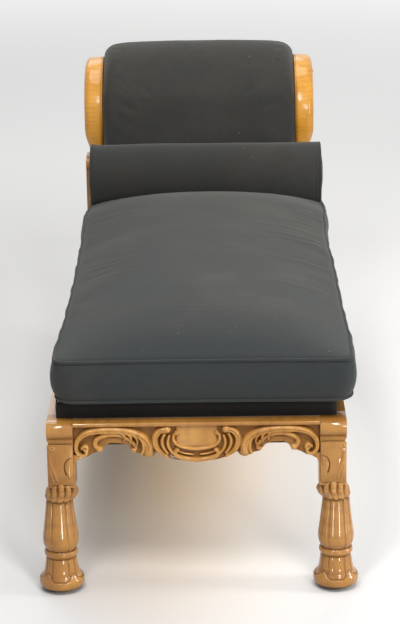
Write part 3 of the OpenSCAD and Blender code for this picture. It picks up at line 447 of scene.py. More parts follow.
def legTurning(name, side, end, s=legShape):  # end is -1 at the front, 1 at the back
    low, tube, vaseTop = s["footBottom"], s["ringTube"], s["vaseTop"]
    zRing = low + s["footH"] + tube
    z = np.concatenate([np.linspace(low, zRing + 9, 88), np.linspace(zRing + 10, vaseTop - 1, 74),
                        np.linspace(vaseTop, s["top"], 58)])
    angle = turns(s["angles"])
    zz, aa = np.meshgrid(z, angle, indexing="ij")
    turn = np.degrees(np.abs(((aa / quarter) % 1) - 0.5)) * np.pi / 2  # degrees from the nearest diagonal
    groove = np.exp(-((turn - 15) / 3.4) ** 2)  # two grooves bound a narrow rib on each diagonal
    lobe = np.sqrt(np.clip(1 - np.where(turn > 15, (45 - turn) / 31, turn / 16) ** 2, 0, 1))
    # foot: a flared bell, with a raised rim whose upper edge rises to a leaf tip between the lobes
    h = zz - low
    edge = 19 + 15 * np.clip(1 - turn / 27, 0, 1) ** 1.25
    bell = np.interp(h, [0, 1.5, 4, 11, 17, 20, 24, 29, 35, 42, 50, 58, 66, 80],
                     [43.2, 45.4, 46.6, 46.8, 46.2, 44.8, 42.2, 39.4, 37.4, 36.0, 35.0, 34.0, 32.6, 32])
    above = smoothStep((h - edge) / 1.6 + 0.5)
    seam = np.exp(-((h - edge - 1.2) / 1.2) ** 2)
    pair = groove * smoothStep((h - edge) / 4) * (h < 66)
    rim = np.interp(h, [0, 8, 19, 34], [1.0, 1.9, 2.6, 1.6])
    rFoot = bell * (0.975 + 0.025 * lobe) + (1 - above) * rim
    rFoot = rFoot - 0.9 * seam - 1.2 * pair
    ring = s["ringR"] - tube + np.sqrt(np.clip(tube ** 2 - (zz - zRing) ** 2, 0, None))
    # vase: six rounded lobes with grooves that fade towards the bottom
    vase = np.interp(zz, [92, 95, 99, 105, 112, 119, 127, 139, 156, 175, 192, 206],
                     [31, 32.6, 34.6, 37.0, 38.3, 38.7, 38.3, 36.6, 34.4, 32.1, 30.2, 28.8])
    cut = groove * np.interp(zz, [96, 108, 135, 150, 198, 206], [0.15, 0.3, 0.6, 1, 1, 0.7])
    rVase = vase * (0.93 + 0.07 * lobe) - 1.7 * cut
    # band of knuckles: upright beads, higher at the face of the leg, over a scalloped skirt
    facing = np.clip(end * np.sin(aa), 0, 1) ** 1.3
    pitch = 2 * np.pi / s["knuckles"]
    d = np.abs(((aa / pitch + 0.5) % 1) - 0.5) * pitch * (s["neck"] + 5) / s["knuckleWidth"]
    d = np.clip(d, 0, 1)
    round_ = np.sqrt(1 - d ** 2)
    mid, reach = 222 + 14 * facing, 14.5 + 2.5 * facing
    e = (zz - mid) / reach
    bead = round_ * np.sqrt(np.clip(1 - np.abs(e) ** 2.2, 0, 1))
    bead = bead * (1 - 0.12 * np.exp(-((e + 0.1) / 0.14) ** 2)) * (1 + 0.10 * e)
    hem = vaseTop + 1.5 + 5.5 * (1 - round_)
    skirt = smoothStep((zz - hem) / 2.5 + 0.5) * (0.4 + 0.6 * round_) * smoothStep((mid + 4 - zz) / 5)
    rBand = s["neck"] - 0.6 + np.maximum(s["knuckleOut"] * bead, 3.2 * skirt)
    r = np.where(zz < zRing - 8, rFoot, np.maximum(ring, 30.8))
    r = np.where(zz > zRing + 6, np.maximum(np.where(zz < zRing + 9.2, ring, 0), rVase), r)
    r = np.where(zz >= vaseTop, rBand, r)
    r = np.where(zz > 243.5, np.minimum(r, np.where(facing > 0.35, r, 27)), r)
    # Painted shade in the shade attribute: in the foot's seam and grooves, in the crevices below and
    # above the ring, in the vase's grooves, between the knuckles and under the knuckle band
    tone = np.where(zz < zRing - 8, 0.7 * seam + 0.45 * pair, 0)
    tone = tone + 0.8 * np.exp(-((zz - zRing + 9) / 1.8) ** 2)
    tone = tone + 0.85 * np.exp(-((zz - zRing - 8.5) / 2.0) ** 2)
    tone = tone + np.where((zz > zRing + 12) & (zz < vaseTop), 0.34 * cut, 0)
    beadGapShade = 0.75 * (1 - smoothStep((round_ - 0.05) / 0.32)) * smoothStep((zz - hem) / 8)
    tone = tone + np.where(zz >= vaseTop, beadGapShade, 0)
    under = np.exp(-np.clip(vaseTop + 3 - zz, 0, None) / 7.0) * (zz < vaseTop + 3)
    tone = tone + 0.55 * under + 0.5 * np.exp(-((zz - vaseTop - 3) / 3.0) ** 2)
    x0 = s["footX"] + (s["blockX"] - s["footX"]) * smoothStep((zz - vaseTop + 6) / 30)
    body = np.stack([x0 + r * np.cos(aa), r * np.sin(aa), zz], -1)
    socket = []
    for rad, zed in ((0, s["recessTop"]), (s["recessR"], s["recessTop"]), (s["recessR"], low)):
        row = [s["footX"] + rad * np.cos(angle), rad * np.sin(angle), np.full_like(angle, zed)]
        socket.append(np.stack(row, -1))
    top = body[-1:].copy()
    top[..., 0], top[..., 1] = s["blockX"], 0
    pts = np.concatenate([socket, body, top])
    pts[..., 1] += s["middleY"][end]
    pts[..., 0] *= side
    # painted shade inside the caster socket
    tone = np.concatenate([np.full((3, len(angle)), 0.6), tone, np.zeros((1, len(angle)))])
    return gridMesh(name, pts * mm, wrapV=True, shade=tone)


# Carved relief: the highest of many rounded strokes over a board. A stroke is a path with its start,
# middle and end half widths, a height, and grooves as (place across from -1 to 1, depth share, width)
strokeReach = 16  # mm to each side within which a stroke is looked for


def carve(xx, vv, strokes, relief, dark):
    for points, widths, height, grooves in strokes:
        path = smoothPath(points, 64) if len(points) > 2 else np.array(points, float)
        t = np.linspace(0, 1, len(path))
        width = np.interp(t, [0, 0.5, 1], widths)
        near = (xx > path[:, 0].min() - strokeReach) & (xx < path[:, 0].max() + strokeReach)
        px, pz = xx[near], vv[near]
        d = np.hypot(px[:, None] - path[None, :, 0], pz[:, None] - path[None, :, 1])
        i = (d - 0.4 * (width - width.min())[None, :]).argmin(1)
        reach = np.hypot(px - path[i, 0], pz - path[i, 1])
        u = np.clip(reach / width[i], 0, 1)
        dome = np.sqrt(1 - u ** 2)
        tangent = np.gradient(path, axis=0)
        place = np.sign(tangent[i, 0] * (pz - path[i, 1]) - tangent[i, 1] * (px - path[i, 0])) * u
        tapered = smoothStep(np.minimum(t[i], 1 - t[i]) * 9 + 0.1)
        cut = np.zeros_like(u)
        for at, share, wide in grooves:
            cut = np.maximum(cut, share * np.exp(-((place - at) / wide) ** 2) * tapered)
        lift = height * dome * (1 - cut) if height > 0 else height * dome
        if height > 0:
            higher = lift > relief[near]
            # painted shade on the low flanks of a stroke and in its grooves
            strokeShade = np.maximum(0.85 * (1 - smoothStep(dome / 0.5)), 0.8 * cut)
            dark[near] = np.where(higher, strokeShade, dark[near])
            relief[near] = np.maximum(relief[near], lift)
        else:
            relief[near] = relief[near] + lift
            # painted shade in a cut groove
            dark[near] = np.maximum(dark[near], smoothStep(dome * 1.6))
    return relief, dark


# Shafts: folds, an ear line and a small spiral, in mm from the leg's middle and down from the roll
shaftPanel = {"half": 27.4, "top": 342, "bottom": 251, "cell": 0.8, "middleX": 289.5, "faceY": -905,
              "back": 1.2}
shaftStrokes = [
    ([(22, 34), (16.5, 45), (16, 60), (19, 74)], (7.5, 7.5, 3.5), 2.6, []),
    ([(-25, 22), (-21, 42), (-13, 66), (-7, 88)], (3.5, 4.6, 3.2), 3.0, []),
    ([(-26, 40), (-23, 58), (-18, 76), (-15, 90)], (3, 3.6, 3), 3.0, []),
    ([(-26.5, 60), (-25, 76), (-23, 90)], (2.5, 3, 2.5), 2.6, []),
    ([(-24, 12), (-22, 5), (-15, 4), (-12.5, 9), (-16, 13.5), (-19.5, 10.5)], (2.4, 2.6, 2.2), 2.6, []),
    ([(24, 30), (15, 33), (9.5, 42), (8, 53), (10, 62), (12, 68)], (0.8, 1.2, 1.9), -2.4, []),
]


def shaftRelief(side, s=shaftPanel):
    u = np.linspace(-s["half"], s["half"], int(2 * s["half"] / s["cell"]))
    v = np.linspace(0, s["top"] - s["bottom"], int((s["top"] - s["bottom"]) / s["cell"]))
    vv, uu = np.meshgrid(v, u, indexing="ij")
    relief = 1.3 * (1 - (uu / s["half"]) ** 4) * (1 - 0.25 * np.cos(vv / 15))
    dark = np.zeros(uu.shape)
    relief = relief * (1 - 0.5 * smoothStep((-uu - 6 - vv * 0.10) / 6) * smoothStep((vv - 16) / 10))
    relief, dark = carve(uu, vv, shaftStrokes, relief, dark)
    rim = np.minimum(np.minimum(uu + s["half"], s["half"] - uu), np.minimum(vv, v[-1] - vv))
    relief = relief * smoothStep(rim / 7) - 1.0 * (1 - smoothStep(rim / 3.0))
    relief = relief * smoothStep(vv / 12 + 0.04) * smoothStep((v[-1] - vv) / 14 + 0.1)
    # painted shade just under the roll, and darker towards the bottom
    dark = np.maximum(dark, 0.30 * smoothStep((vv - 62) / 26) + 0.18 * smoothStep((9 - vv) / 9))
    return np.stack([side * (s["middleX"] - uu), s["faceY"] - relief, s["top"] - vv], -1), 0.8 * dark


def reliefSolid(name, pts, tone, behind):  # a relief with its edges carried back by behind and closed
    flat = pts + np.array(behind, float)

    def ring(g):
        return np.concatenate([g[0, :-1], g[:-1, -1], g[-1, :0:-1], g[:0:-1, 0]])
    back = ring(flat)
    count = pts.shape[0] * pts.shape[1]
    index = np.arange(count).reshape(pts.shape[:2])
    rim = ring(index)
    quads = np.stack([index[:-1, :-1], index[1:, :-1], index[1:, 1:], index[:-1, 1:]], -1).reshape(-1, 4)
    low = count + np.arange(len(rim))
    side = np.stack([rim, np.roll(rim, -1), np.roll(low, -1), low], -1)
    fan = np.stack([low, np.roll(low, -1), np.full(len(low), count + len(rim))], -1)
    verts = np.vstack([pts.reshape(-1, 3), back, back.mean(0, keepdims=True)]) * mm
    mesh = bpy.data.meshes.new(name)
    mesh.from_pydata(verts.tolist(), [], quads.tolist() + side.tolist() + fan.tolist())
    setShade(mesh, np.concatenate([tone.ravel(), np.zeros(len(rim) + 1)]))
    with editing(mesh) as bm:
        bmesh.ops.recalc_face_normals(bm, faces=bm.faces)
    mesh.shade_smooth()
    return mesh


for end, sign in (("front", -1), ("back", 1)):
    for sideName, side in bothSides:
        node = f"{end}_leg_{sideName}"
        block = cleanCopy(node, 0.0022, keepAbove=0.2430)
        addPiece(f"{end}LegBlock.{sideName}", block, mapleUp, (node,))
        turned = legTurning(f"{end}LegTurning.{sideName}", side, sign)
        addPiece(f"{end}LegTurning.{sideName}", turned, mapleUp)
        if end == "front":
            name = f"shaftCarving.{sideName}"
            addPiece(name, reliefSolid(name, *shaftRelief(side), (0, shaftPanel["back"], 0)), mapleUp)
print("legs made")

# Apron, mirrored about the middle, in mm from the middle and below the moulding
apronShape = {"halfWidth": 261.5, "board": -0.8905, "back": -0.873, "top": 0.378, "cell": 0.9,
              "edgeRound": 3.0}
apronStrokes = [
    # outer leaf band of the C-scroll, from its spiral to the lobe tip
    ([(238, 50), (232, 58), (241, 66), (254, 58), (257, 44), (251, 27), (238, 15), (216, 8.5), (187, 7.5),
      (159, 9), (133, 14), (112, 25), (101, 42), (102, 60)], (4.5, 9.5, 11), 13.0, [(-0.15, 0.16, 0.22)]),
    ([(243, 47), (237, 41), (231, 47), (233, 55)], (5, 5.5, 4), 12.0, []),
    ([(124, 20), (113, 34), (112, 52), (116, 60)], (3.5, 5.5, 4.5), 12.5, []),
    # inner arch with a ball at one end and a curl at the other
    ([(207, 50), (216, 42), (214, 30), (203, 22), (183, 17.5), (163, 18.5), (146, 26), (132, 38),
      (127, 48), (133, 55)], (6.5, 5.8, 5.0), 9.5, [(0.1, 0.12, 0.2)]),
    ([(206.5, 50), (206, 49)], (8.2, 8.2, 8.2), 11.5, []),
    ([(133, 54), (133.5, 53)], (6.6, 6.6, 6.6), 10.5, []),
    # fingers between the two
    ([(166, 9), (156, 15), (150, 24), (153, 31)], (3.0, 4.4, 2.6), 12.5, []),
    ([(153, 9), (143, 17), (137, 27), (141, 35)], (3.0, 4.4, 2.6), 12.5, []),
    ([(140, 11), (130, 21), (124, 33), (127, 42)], (3.0, 4.2, 2.6), 12.5, []),
    # acanthus ear beside the cartouche
    ([(63, 8), (73, 8), (84, 16), (90, 30), (86, 46), (77, 58), (64, 67)], (8, 8.5, 5.5), 12.5,
     [(0.1, 0.18, 0.2)]),
    ([(62, 7.5), (62.5, 7)], (9.6, 9.6, 9.6), 14.0, []),
    ([(68, 18), (74, 30), (72, 46), (62, 60)], (4.5, 5.2, 4), 11.5, []),
    ([(58, 22), (62, 36), (58, 52), (47, 63)], (4, 4.8, 4), 10.5, []),
    # raised frame of the cartouche, ending in a small curl
    ([(43, 14), (50, 22), (49, 34), (41, 43), (27, 48.5), (12, 51), (0, 51.5)], (4.4, 4.8, 4.8), 9.5, []),
    ([(42.5, 15), (42, 15.5)], (6.6, 6.6, 6.6), 10.0, []),
    # lower leaf band
    ([(41, 54), (47, 60), (43, 67), (30, 72), (14, 75), (0, 76)], (5.5, 6.6, 6.6), 11.0,
     [(0.0, 0.14, 0.24)]),
    ([(42, 54.5), (41, 54)], (6.8, 6.8, 6.8), 10.5, []),
    ([(36, 58), (24, 62), (8, 64)], (2.2, 3.2, 3.0), 8.0, []),
]
apronOutline = [(0, 82), (24, 80.5), (46, 77), (62, 72), (76, 64), (86, 60), (92, 68), (104, 71.5),
                (114, 67), (121, 62), (130, 60), (138, 54), (146, 44), (160, 39), (184, 38), (196, 45),
                (201, 56), (212, 58), (222, 62), (232, 68), (242, 71), (252, 66), (261.5, 62)]


def apronRelief(s=apronShape):
    half = int(s["halfWidth"] / s["cell"])
    x = np.linspace(-s["halfWidth"], s["halfWidth"], 2 * half + 1)
    outline = np.array(apronOutline, float)
    bottom = np.interp(np.abs(x), outline[:, 0], outline[:, 1])
    share = np.linspace(0, 1, 92)
    depth = share[:, None] * bottom[None, :]
    xx = np.abs(np.broadcast_to(x, depth.shape))
    relief = np.full(depth.shape, 0.4)
    # Painted shade on the sunk ground between the carvings, lighter on the cartouche field and the web,
    # and fading out right under the moulding
    dark = np.full(depth.shape, 0.72)
    field = smoothStep((49 - depth) / 5) * smoothStep((47 - xx) / 6)  # the plain field of the cartouche
    relief = np.maximum(relief, 4.5 * field)
    dark = dark * (1 - 0.85 * field)
    web = smoothStep((depth - 22) / 5) * np.exp(-((xx - 172) / 34) ** 4)
    relief = np.maximum(relief, 3.0 * web)
    dark = dark * (1 - 0.35 * web)
    relief, dark = carve(xx, depth, apronStrokes, relief, dark)
    rim = np.clip(1 - (bottom[None, :] - depth) / s["edgeRound"], 0, 1)
    relief = relief * (0.45 + 0.55 * np.sqrt(1 - rim ** 2))
    dark = dark * smoothStep((depth + 3) / 5)
    x = np.broadcast_to(x, depth.shape)
    return np.stack([x, s["board"] / mm - relief, s["top"] / mm - depth], -1), dark


def apronMesh(s=apronShape):
    pts, tone = apronRelief(s)
    back = pts.copy()
    back[..., 1] = s["back"] / mm
    full = np.concatenate([back[:1], pts, back[-1:]])
    tone = np.concatenate([tone[:1], tone, tone[-1:]])
    return closeEnds(gridMesh("apronCarving", full * mm, wrapU=True, shade=tone))


addPiece("apronCarving", apronMesh(), mapleApron, ("front_apron",))
print("apron made")

# Rails, moulding and inner pieces keep the frame's shapes with softened edges
cleanPiece("apron_moulding", mapleTrim, 0.0)
for sideName in ("left", "right"):
    cleanPiece(f"side_rail_{sideName}", mapleAlong, 0.003, name=f"sideRail.{sideName}")
cleanPiece("back_rail", mapleAcross, 0.003)
for node in ("seat_front_rail", "seat_back_rail", "cross_bearer_front", "cross_bearer_back",
             "corner_blocks", "head_middle_rail", "head_bottom_rail"):
    cleanPiece(node, plainUp, 0.001, node.replace("_", "") + "Wood")

# Head scrolls: the outline carried across the board, drawn in towards both faces to round its edges
scrollShape = {"eyeY": 872.5, "eyeZ": 783, "inner": 264.5, "outer": 317.5, "arcR": 148, "voluteR": 50,
               "ahead": 19, "hollowFoot": 67, "neckDown": 209, "roundOuter": 17,
               "roundInner": 5, "crown": 3.5, "points": 260, "meet": 245}


def scrollOutline(s=scrollShape):
    down = s["arcR"] - s["voluteR"]
    neckA = 180 + math.degrees(math.asin((s["neckDown"] - down) / s["arcR"]))
    meet = math.radians(s["meet"])
    hollowDown = s["neckDown"] * 0.9
    my, mz = s["voluteR"] * math.cos(meet) + s["hollowFoot"], s["voluteR"] * math.sin(meet) + hollowDown
    hr = (my * my + mz * mz) / (2 * my)
    ma = math.degrees(math.atan2(mz, my - hr))
    path = np.vstack([arcPoints(-s["ahead"], -down, s["arcR"], neckA, 91, 90),
                      arcPoints(0, 0, s["voluteR"], 78, s["meet"] - 360, 80),
                      arcPoints(hr - s["hollowFoot"], -hollowDown, hr, ma, 180, 40),
                      [[-s["hollowFoot"], -s["neckDown"]]]])
    return resample(path, s["points"], closed=True)


def scrollMesh(name, side, s=scrollShape):
    line = scrollOutline(s)
    tangent = np.roll(line, -1, 0) - np.roll(line, 1, 0)
    tangent /= np.linalg.norm(tangent, axis=1, keepdims=True)
    inward = np.stack([tangent[:, 1], -tangent[:, 0]], -1)  # the outline runs clockwise
    keep = smoothStep((line[:, 1] + s["neckDown"]) / 22)[:, None]  # no rounding at the post
    rings = []
    thick = s["outer"] - s["inner"]
    for a in np.radians(np.linspace(90, 0, 7)):  # inner edge
        rings.append((s["roundInner"] * (1 - math.cos(a)), s["roundInner"] * (1 - math.sin(a))))
    for across in np.linspace(s["roundInner"] + 3, thick - s["roundOuter"] - 2, 8):  # crowned face
        rings.append((across, 0.0))
    for a in np.radians(np.linspace(0, 90, 12)):  # outer edge
        rings.append((thick - s["roundOuter"] * (1 - math.sin(a)), s["roundOuter"] * (1 - math.cos(a))))
    layers = []
    for across, inset in rings:
        inset = inset + s["crown"] * (across / thick) ** 2
        p = line + inward * inset * keep
        drawn = thick / 4 * (1 - smoothStep((p[:, 1] + s["neckDown"]) / 80))
        reach = across * (thick - drawn) / thick
        x = side * (s["inner"] + reach)
        layers.append(np.stack([x, s["eyeY"] + p[:, 0], s["eyeZ"] + p[:, 1]], -1))
    mesh = closeEnds(gridMesh(name, np.array(layers) * mm, wrapV=True))
    mesh.set_sharp_from_angle(angle=math.radians(40))
    return mesh


for sideName, side in bothSides:
    board = scrollMesh(f"headScroll.{sideName}", side)
    addPiece(f"headScroll.{sideName}", board, mapleHead, (f"head_scroll_{sideName}",))
print("scrolls made")

# Soft goods
simSetup = {"pressure": 4.0, "frames": 20, "quality": 4, "pinBelow": 0.05}


def applyModifiers(o):
    graph = bpy.context.evaluated_depsgraph_get()
    made = bpy.data.meshes.new_from_object(o.evaluated_get(graph), preserve_all_data_layers=True,
                                           depsgraph=graph)
    old = o.data
    o.modifiers.clear()
    o.data = made
    made.name = old.name
    bpy.data.meshes.remove(old)


def puff(o, voxel, cap, hold, s=simSetup):  # cloth pressure, each point's move limited and scaled by hold
    remesh = o.modifiers.new("remesh", "REMESH")
    remesh.mode, remesh.voxel_size = "VOXEL", voxel
    applyModifiers(o)
    mesh = o.data
    start = pointsOf(mesh)
    free = hold(start)
    group = o.vertex_groups.new(name="pin")
    group.add(np.where(free < s["pinBelow"])[0].tolist(), 1.0, "REPLACE")
    cloth = o.modifiers.new("cloth", "CLOTH")
    cloth.settings.use_pressure = True
    cloth.settings.uniform_pressure_force = s["pressure"]
    cloth.settings.effector_weights.gravity = 0
    cloth.settings.vertex_group_mass = "pin"
    cloth.settings.quality = s["quality"]
    cloth.collision_settings.use_collision = False
    cloth.point_cache.frame_start, cloth.point_cache.frame_end = 1, s["frames"]
    scene = bpy.context.scene
    for f in range(1, s["frames"] + 1):
        scene.frame_set(f)
    moved = pointsOf(o.evaluated_get(bpy.context.evaluated_depsgraph_get()).data)
    o.modifiers.remove(cloth)
    o.vertex_groups.remove(group)
    scene.frame_set(1)
    shift = moved - start
    length = np.linalg.norm(shift, axis=1, keepdims=True)
    shift *= np.minimum(1, cap / np.maximum(length, 1e-9)) * free[:, None]
    mesh.vertices.foreach_set("co", (start + shift).ravel())
    mesh.shade_smooth()
    mesh.update()


def subdivide(o):
    finish = o.modifiers.new("subdivision", "SUBSURF")
    finish.levels = finish.render_levels = 1


# Seat cushion: rings of one rounded outline from the underside to the crown
cushionShape = {"right": 18, "y0": -909, "y1": 596.8, "half": 315, "bottom": 432.3, "height": 96,
                "crown": 52, "swell": 8, "drawIn": 5, "corner": 26, "cornerLow": 22, "press": 24,
                "around": 420, "welt": 4, "weltIn": 1.2, "weltGap": 0.4, "weltAround": 620,
                "seam": 8.3, "margin": 9, "clear": 0.6}
cushionMid = (cushionShape["y0"] + cushionShape["y1"]) / 2
cushionHalf = (cushionShape["y1"] - cushionShape["y0"]) / 2
bolsterShape = {"y": 529.8, "z": 575.3, "r": 83, "half": 306, "right": 18, "welt": 4, "weltR": 3.8,
                "weltIn": 4.2, "around": 220, "weltAround": 260, "pleats": 30, "tuck": 8.0, "lip": 3.4,
                "bulge": 9.5, "ripple": 1.6, "slack": 0.9, "slackLong": (47, 160)}


def cushionPath(inset, n, low, s=cushionShape):  # outline points; low is 1 at the underside, 0 at the top
    a, b = s["half"] - inset, cushionHalf - inset
    r = max(s["corner"] + s["cornerLow"] * low - inset, 3)
    p = roundedOutline(a, b, r, 12, n)
    dx = s["drawIn"] / s["half"] * (1 - (p[:, 1] / cushionHalf) ** 2)
    dy = s["drawIn"] / cushionHalf * (1 - (p[:, 0] / s["half"]) ** 2)
    return p * (1 - np.stack([dx, dy], -1))


def pressedBy(y, s=cushionShape, b=bolsterShape):  # how far the top is pushed down at y, in mm
    t = (y - (b["y"] - 3.5 * b["r"])) / (3 * b["r"])
    rest = s["press"] * smoothStep(t)
    under = b["z"] - np.sqrt(np.clip(b["r"] ** 2 - (y - b["y"]) ** 2, 0, None))
    return np.maximum(rest, s["bottom"] + s["height"] - under + 1.0)


def sideWave(p, s=cushionShape):  # loose filling: bulges and dips along the long sides, mm outwards
    y = p[:, 1] / 760
    bumps = [[(4.0, -0.80, 0.16), (-7.0, 0.28, 0.22), (5.5, 0.72, 0.10)],  # right side, then left
             [(6.0, -0.86, 0.14), (-2.0, -0.25, 0.25), (7.0, 0.60, 0.16)]]
    rightSide, leftSide = [sum(h * np.exp(-((y - at) / w) ** 2) for h, at, w in row) for row in bumps]
    ripple = 1.0 * np.sin(y * 31 + 1.0) + 0.7 * np.sin(y * 57 + 2.0)
    side = np.clip(np.abs(p[:, 0]) / s["half"], 0, 1) ** 6
    return side * np.where(p[:, 0] > 0, rightSide + ripple, leftSide - ripple)


def cushionRing(inset, z, wave, s=cushionShape):
    share = np.clip((z - s["bottom"] - s["seam"]) / (s["height"] - 2 * s["seam"]), 0, 1)
    p = cushionPath(inset, s["around"], 1 - share, s)
    p[:, 0] += np.sign(p[:, 0]) * sideWave(p, s) * wave
    y = p[:, 1] + cushionMid
    return np.stack([p[:, 0] + s["right"], y, z - pressedBy(y, s) * share], -1)


def cushionMesh(s=cushionShape):
    z0, z1 = s["bottom"], s["bottom"] + s["height"]
    low = ((s["half"] - 2, 0, 0), (150, 0, 0), (40, 0, 0), (9, 0.2, 0.3), (4, 1.5, 0.5), (2.5, 5, 0.6),
           (1.5, 9, 0.7))  # inset, rise and share of the side waves
    rows = [cushionRing(inset, z0 + rise, wavy) for inset, rise, wavy in low]
    for u in np.linspace(0.0, 1.0, 13)[1:-1]:
        bulge = s["swell"] * (1 - (2 * u - 1) ** 2) ** 0.8
        z = z0 + s["margin"] + (s["height"] - 2 * s["margin"]) * u
        rows.append(cushionRing(1.5 - bulge, z, 1.0))
    rows += [cushionRing(inset, z1 - drop, 1.0) for inset, drop in ((1.5, 9), (2.5, 5), (5, 1.5))]
    for u in (0.012, 0.03, 0.055, 0.085, 0.12, 0.16, 0.21, 0.27, 0.34, 0.42, 0.51, 0.61, 0.72, 0.84,
              0.99):
        ring = cushionRing(7 + (s["half"] - 7) * u, z1 - 1, (1 - u) ** 3)
        across = np.clip(np.abs(ring[:, 0] - s["right"]) / (s["half"] - 6), 0, 1)
        along = np.clip(np.abs(ring[:, 1] - cushionMid) / (cushionHalf - 6), 0, 1)
        ring[:, 2] += s["crown"] * (1 - across ** 2.6) ** 0.85 * (1 - along ** 7) ** 0.85
        rows.append(ring)
    pts = np.array(rows)
    # the bolster's hollow: nothing reaches into its roll
    b = bolsterShape
    y, z = pts[..., 1], pts[..., 2]
    reach = b["r"] + s["clear"]
    inside = np.abs(y - b["y"]) < reach
    floor = b["z"] - np.sqrt(np.clip(reach ** 2 - (y - b["y"]) ** 2, 0, None))
    pts[..., 2] = np.where(inside, np.minimum(z, floor), z)
    return gridMesh("seatCushion", pts * mm, wrapV=True)


def cushionFree(p):  # 0 at the seams, on the underside and by the bolster, 1 on the open cloth
    s, b = cushionShape, bolsterShape
    x, y, z = (p / mm).T
    top = s["bottom"] + s["height"] - pressedBy(y)
    edge = np.minimum(s["half"] - np.abs(x - s["right"]), cushionHalf - np.abs(y - cushionMid))
    fromTopSeam = np.hypot(np.clip(edge - 4, 0, None), z - top + 4)
    fromLowSeam = np.hypot(np.clip(edge - 4, 0, None), z - s["bottom"] - 4)
    free = smoothStep((fromTopSeam - 7) / 26) * smoothStep((fromLowSeam - 7) / 26)
    free = free * smoothStep((z - s["bottom"] - 3) / 10)
    near = np.hypot(y - b["y"], z - b["z"]) - b["r"]
    return free * smoothStep((near - 3) / 30)


def clearOfBolster(co, b=bolsterShape):
    d = np.hypot(co[:, 1] / mm - b["y"], co[:, 2] / mm - b["z"])
    scale = np.where(d < b["r"] + 0.5, (b["r"] + 0.5) / np.maximum(d, 1), 1)
    co[:, 1] = (b["y"] + (co[:, 1] / mm - b["y"]) * scale) * mm
    co[:, 2] = (b["z"] + (co[:, 2] / mm - b["z"]) * scale) * mm


foldSetup = {"seed": 7, "count": 34, "from": (-500, 430), "reach": (90, 230), "lean": (-0.28, 0.05),
             "width": (3.5, 7.0), "height": (0.8, 2.2), "sway": 10, "topSide": 520}


def foldLines(co, s=foldSetup):  # shallow drag lines that fan in from the sides, mm of height
    x, y = co[:, 0] / mm - cushionShape["right"], co[:, 1] / mm
    out = np.zeros(len(co))
    rng = np.random.default_rng(s["seed"])
    for k in range(s["count"]):
        side = -1 if k % 3 else 1
        y0, reach, lean, width = [rng.uniform(*s[key]) for key in ("from", "reach", "lean", "width")]
        inward = (side * cushionShape["half"] - x) * side
        u = inward / reach
        d = (y - y0 - lean * inward - s["sway"] * np.sin(u * 2.2 + k)) / width
        ridge = np.exp(-d ** 2) - 0.6 * np.exp(-(d - 1.6) ** 2)
        out += rng.uniform(*s["height"]) * ridge * np.clip(u * 5, 0, 1) * np.clip(1 - u, 0, 1)
    return out


cushion = addCloth("seatCushion", closeEnds(cushionMesh()), ("seat_cushion",), "cushion")
puff(cushion, 0.009, 0.007, cushionFree)
co = pointsOf(cushion.data)
onTop = smoothStep((co[:, 2] / mm - foldSetup["topSide"]) / 20)
co[:, 2] += foldLines(co) * mm * onTop * cushionFree(co)
clearOfBolster(co)
cushion.data.vertices.foreach_set("co", co.ravel())
subdivide(cushion)
print("cushion made")


def tubeMesh(name, path, r, sides=10, wobble=0.05):  # a round cord carried along a closed path
    t = np.roll(path, -1, 0) - np.roll(path, 1, 0)
    t /= np.linalg.norm(t, axis=1, keepdims=True)
    side = np.cross(t, np.array([0.0, 0.0, 1.0]))
    side /= np.linalg.norm(side, axis=1, keepdims=True)
    rise = np.cross(side, t)
    a = turns(sides)
    n = np.arange(len(path))
    rr = r * (1 + wobble * np.sin(n * 0.9) * np.sin(n * 0.23))
    pts = path[:, None, :] + rr[:, None, None] * (np.cos(a)[None, :, None] * side[:, None, :]
                                                  + np.sin(a)[None, :, None] * rise[:, None, :])
    return gridMesh(name, pts, wrapU=True, wrapV=True)


for end, rise, wavy in (("top", cushionShape["height"] - cushionShape["welt"], 1.0),
                        ("bottom", cushionShape["welt"], 0.6)):
    s = cushionShape
    ring = cushionRing(s["welt"] - s["weltIn"], s["bottom"] + rise, wavy)
    line = resample(ring, s["weltAround"], closed=True)
    cord = tubeMesh(f"cushionWelt.{end}", line * mm, (s["welt"] - s["weltGap"]) * mm)
    addCloth(f"cushionWelt.{end}", cord, (f"cushion_welt_{end}",), "cushion")


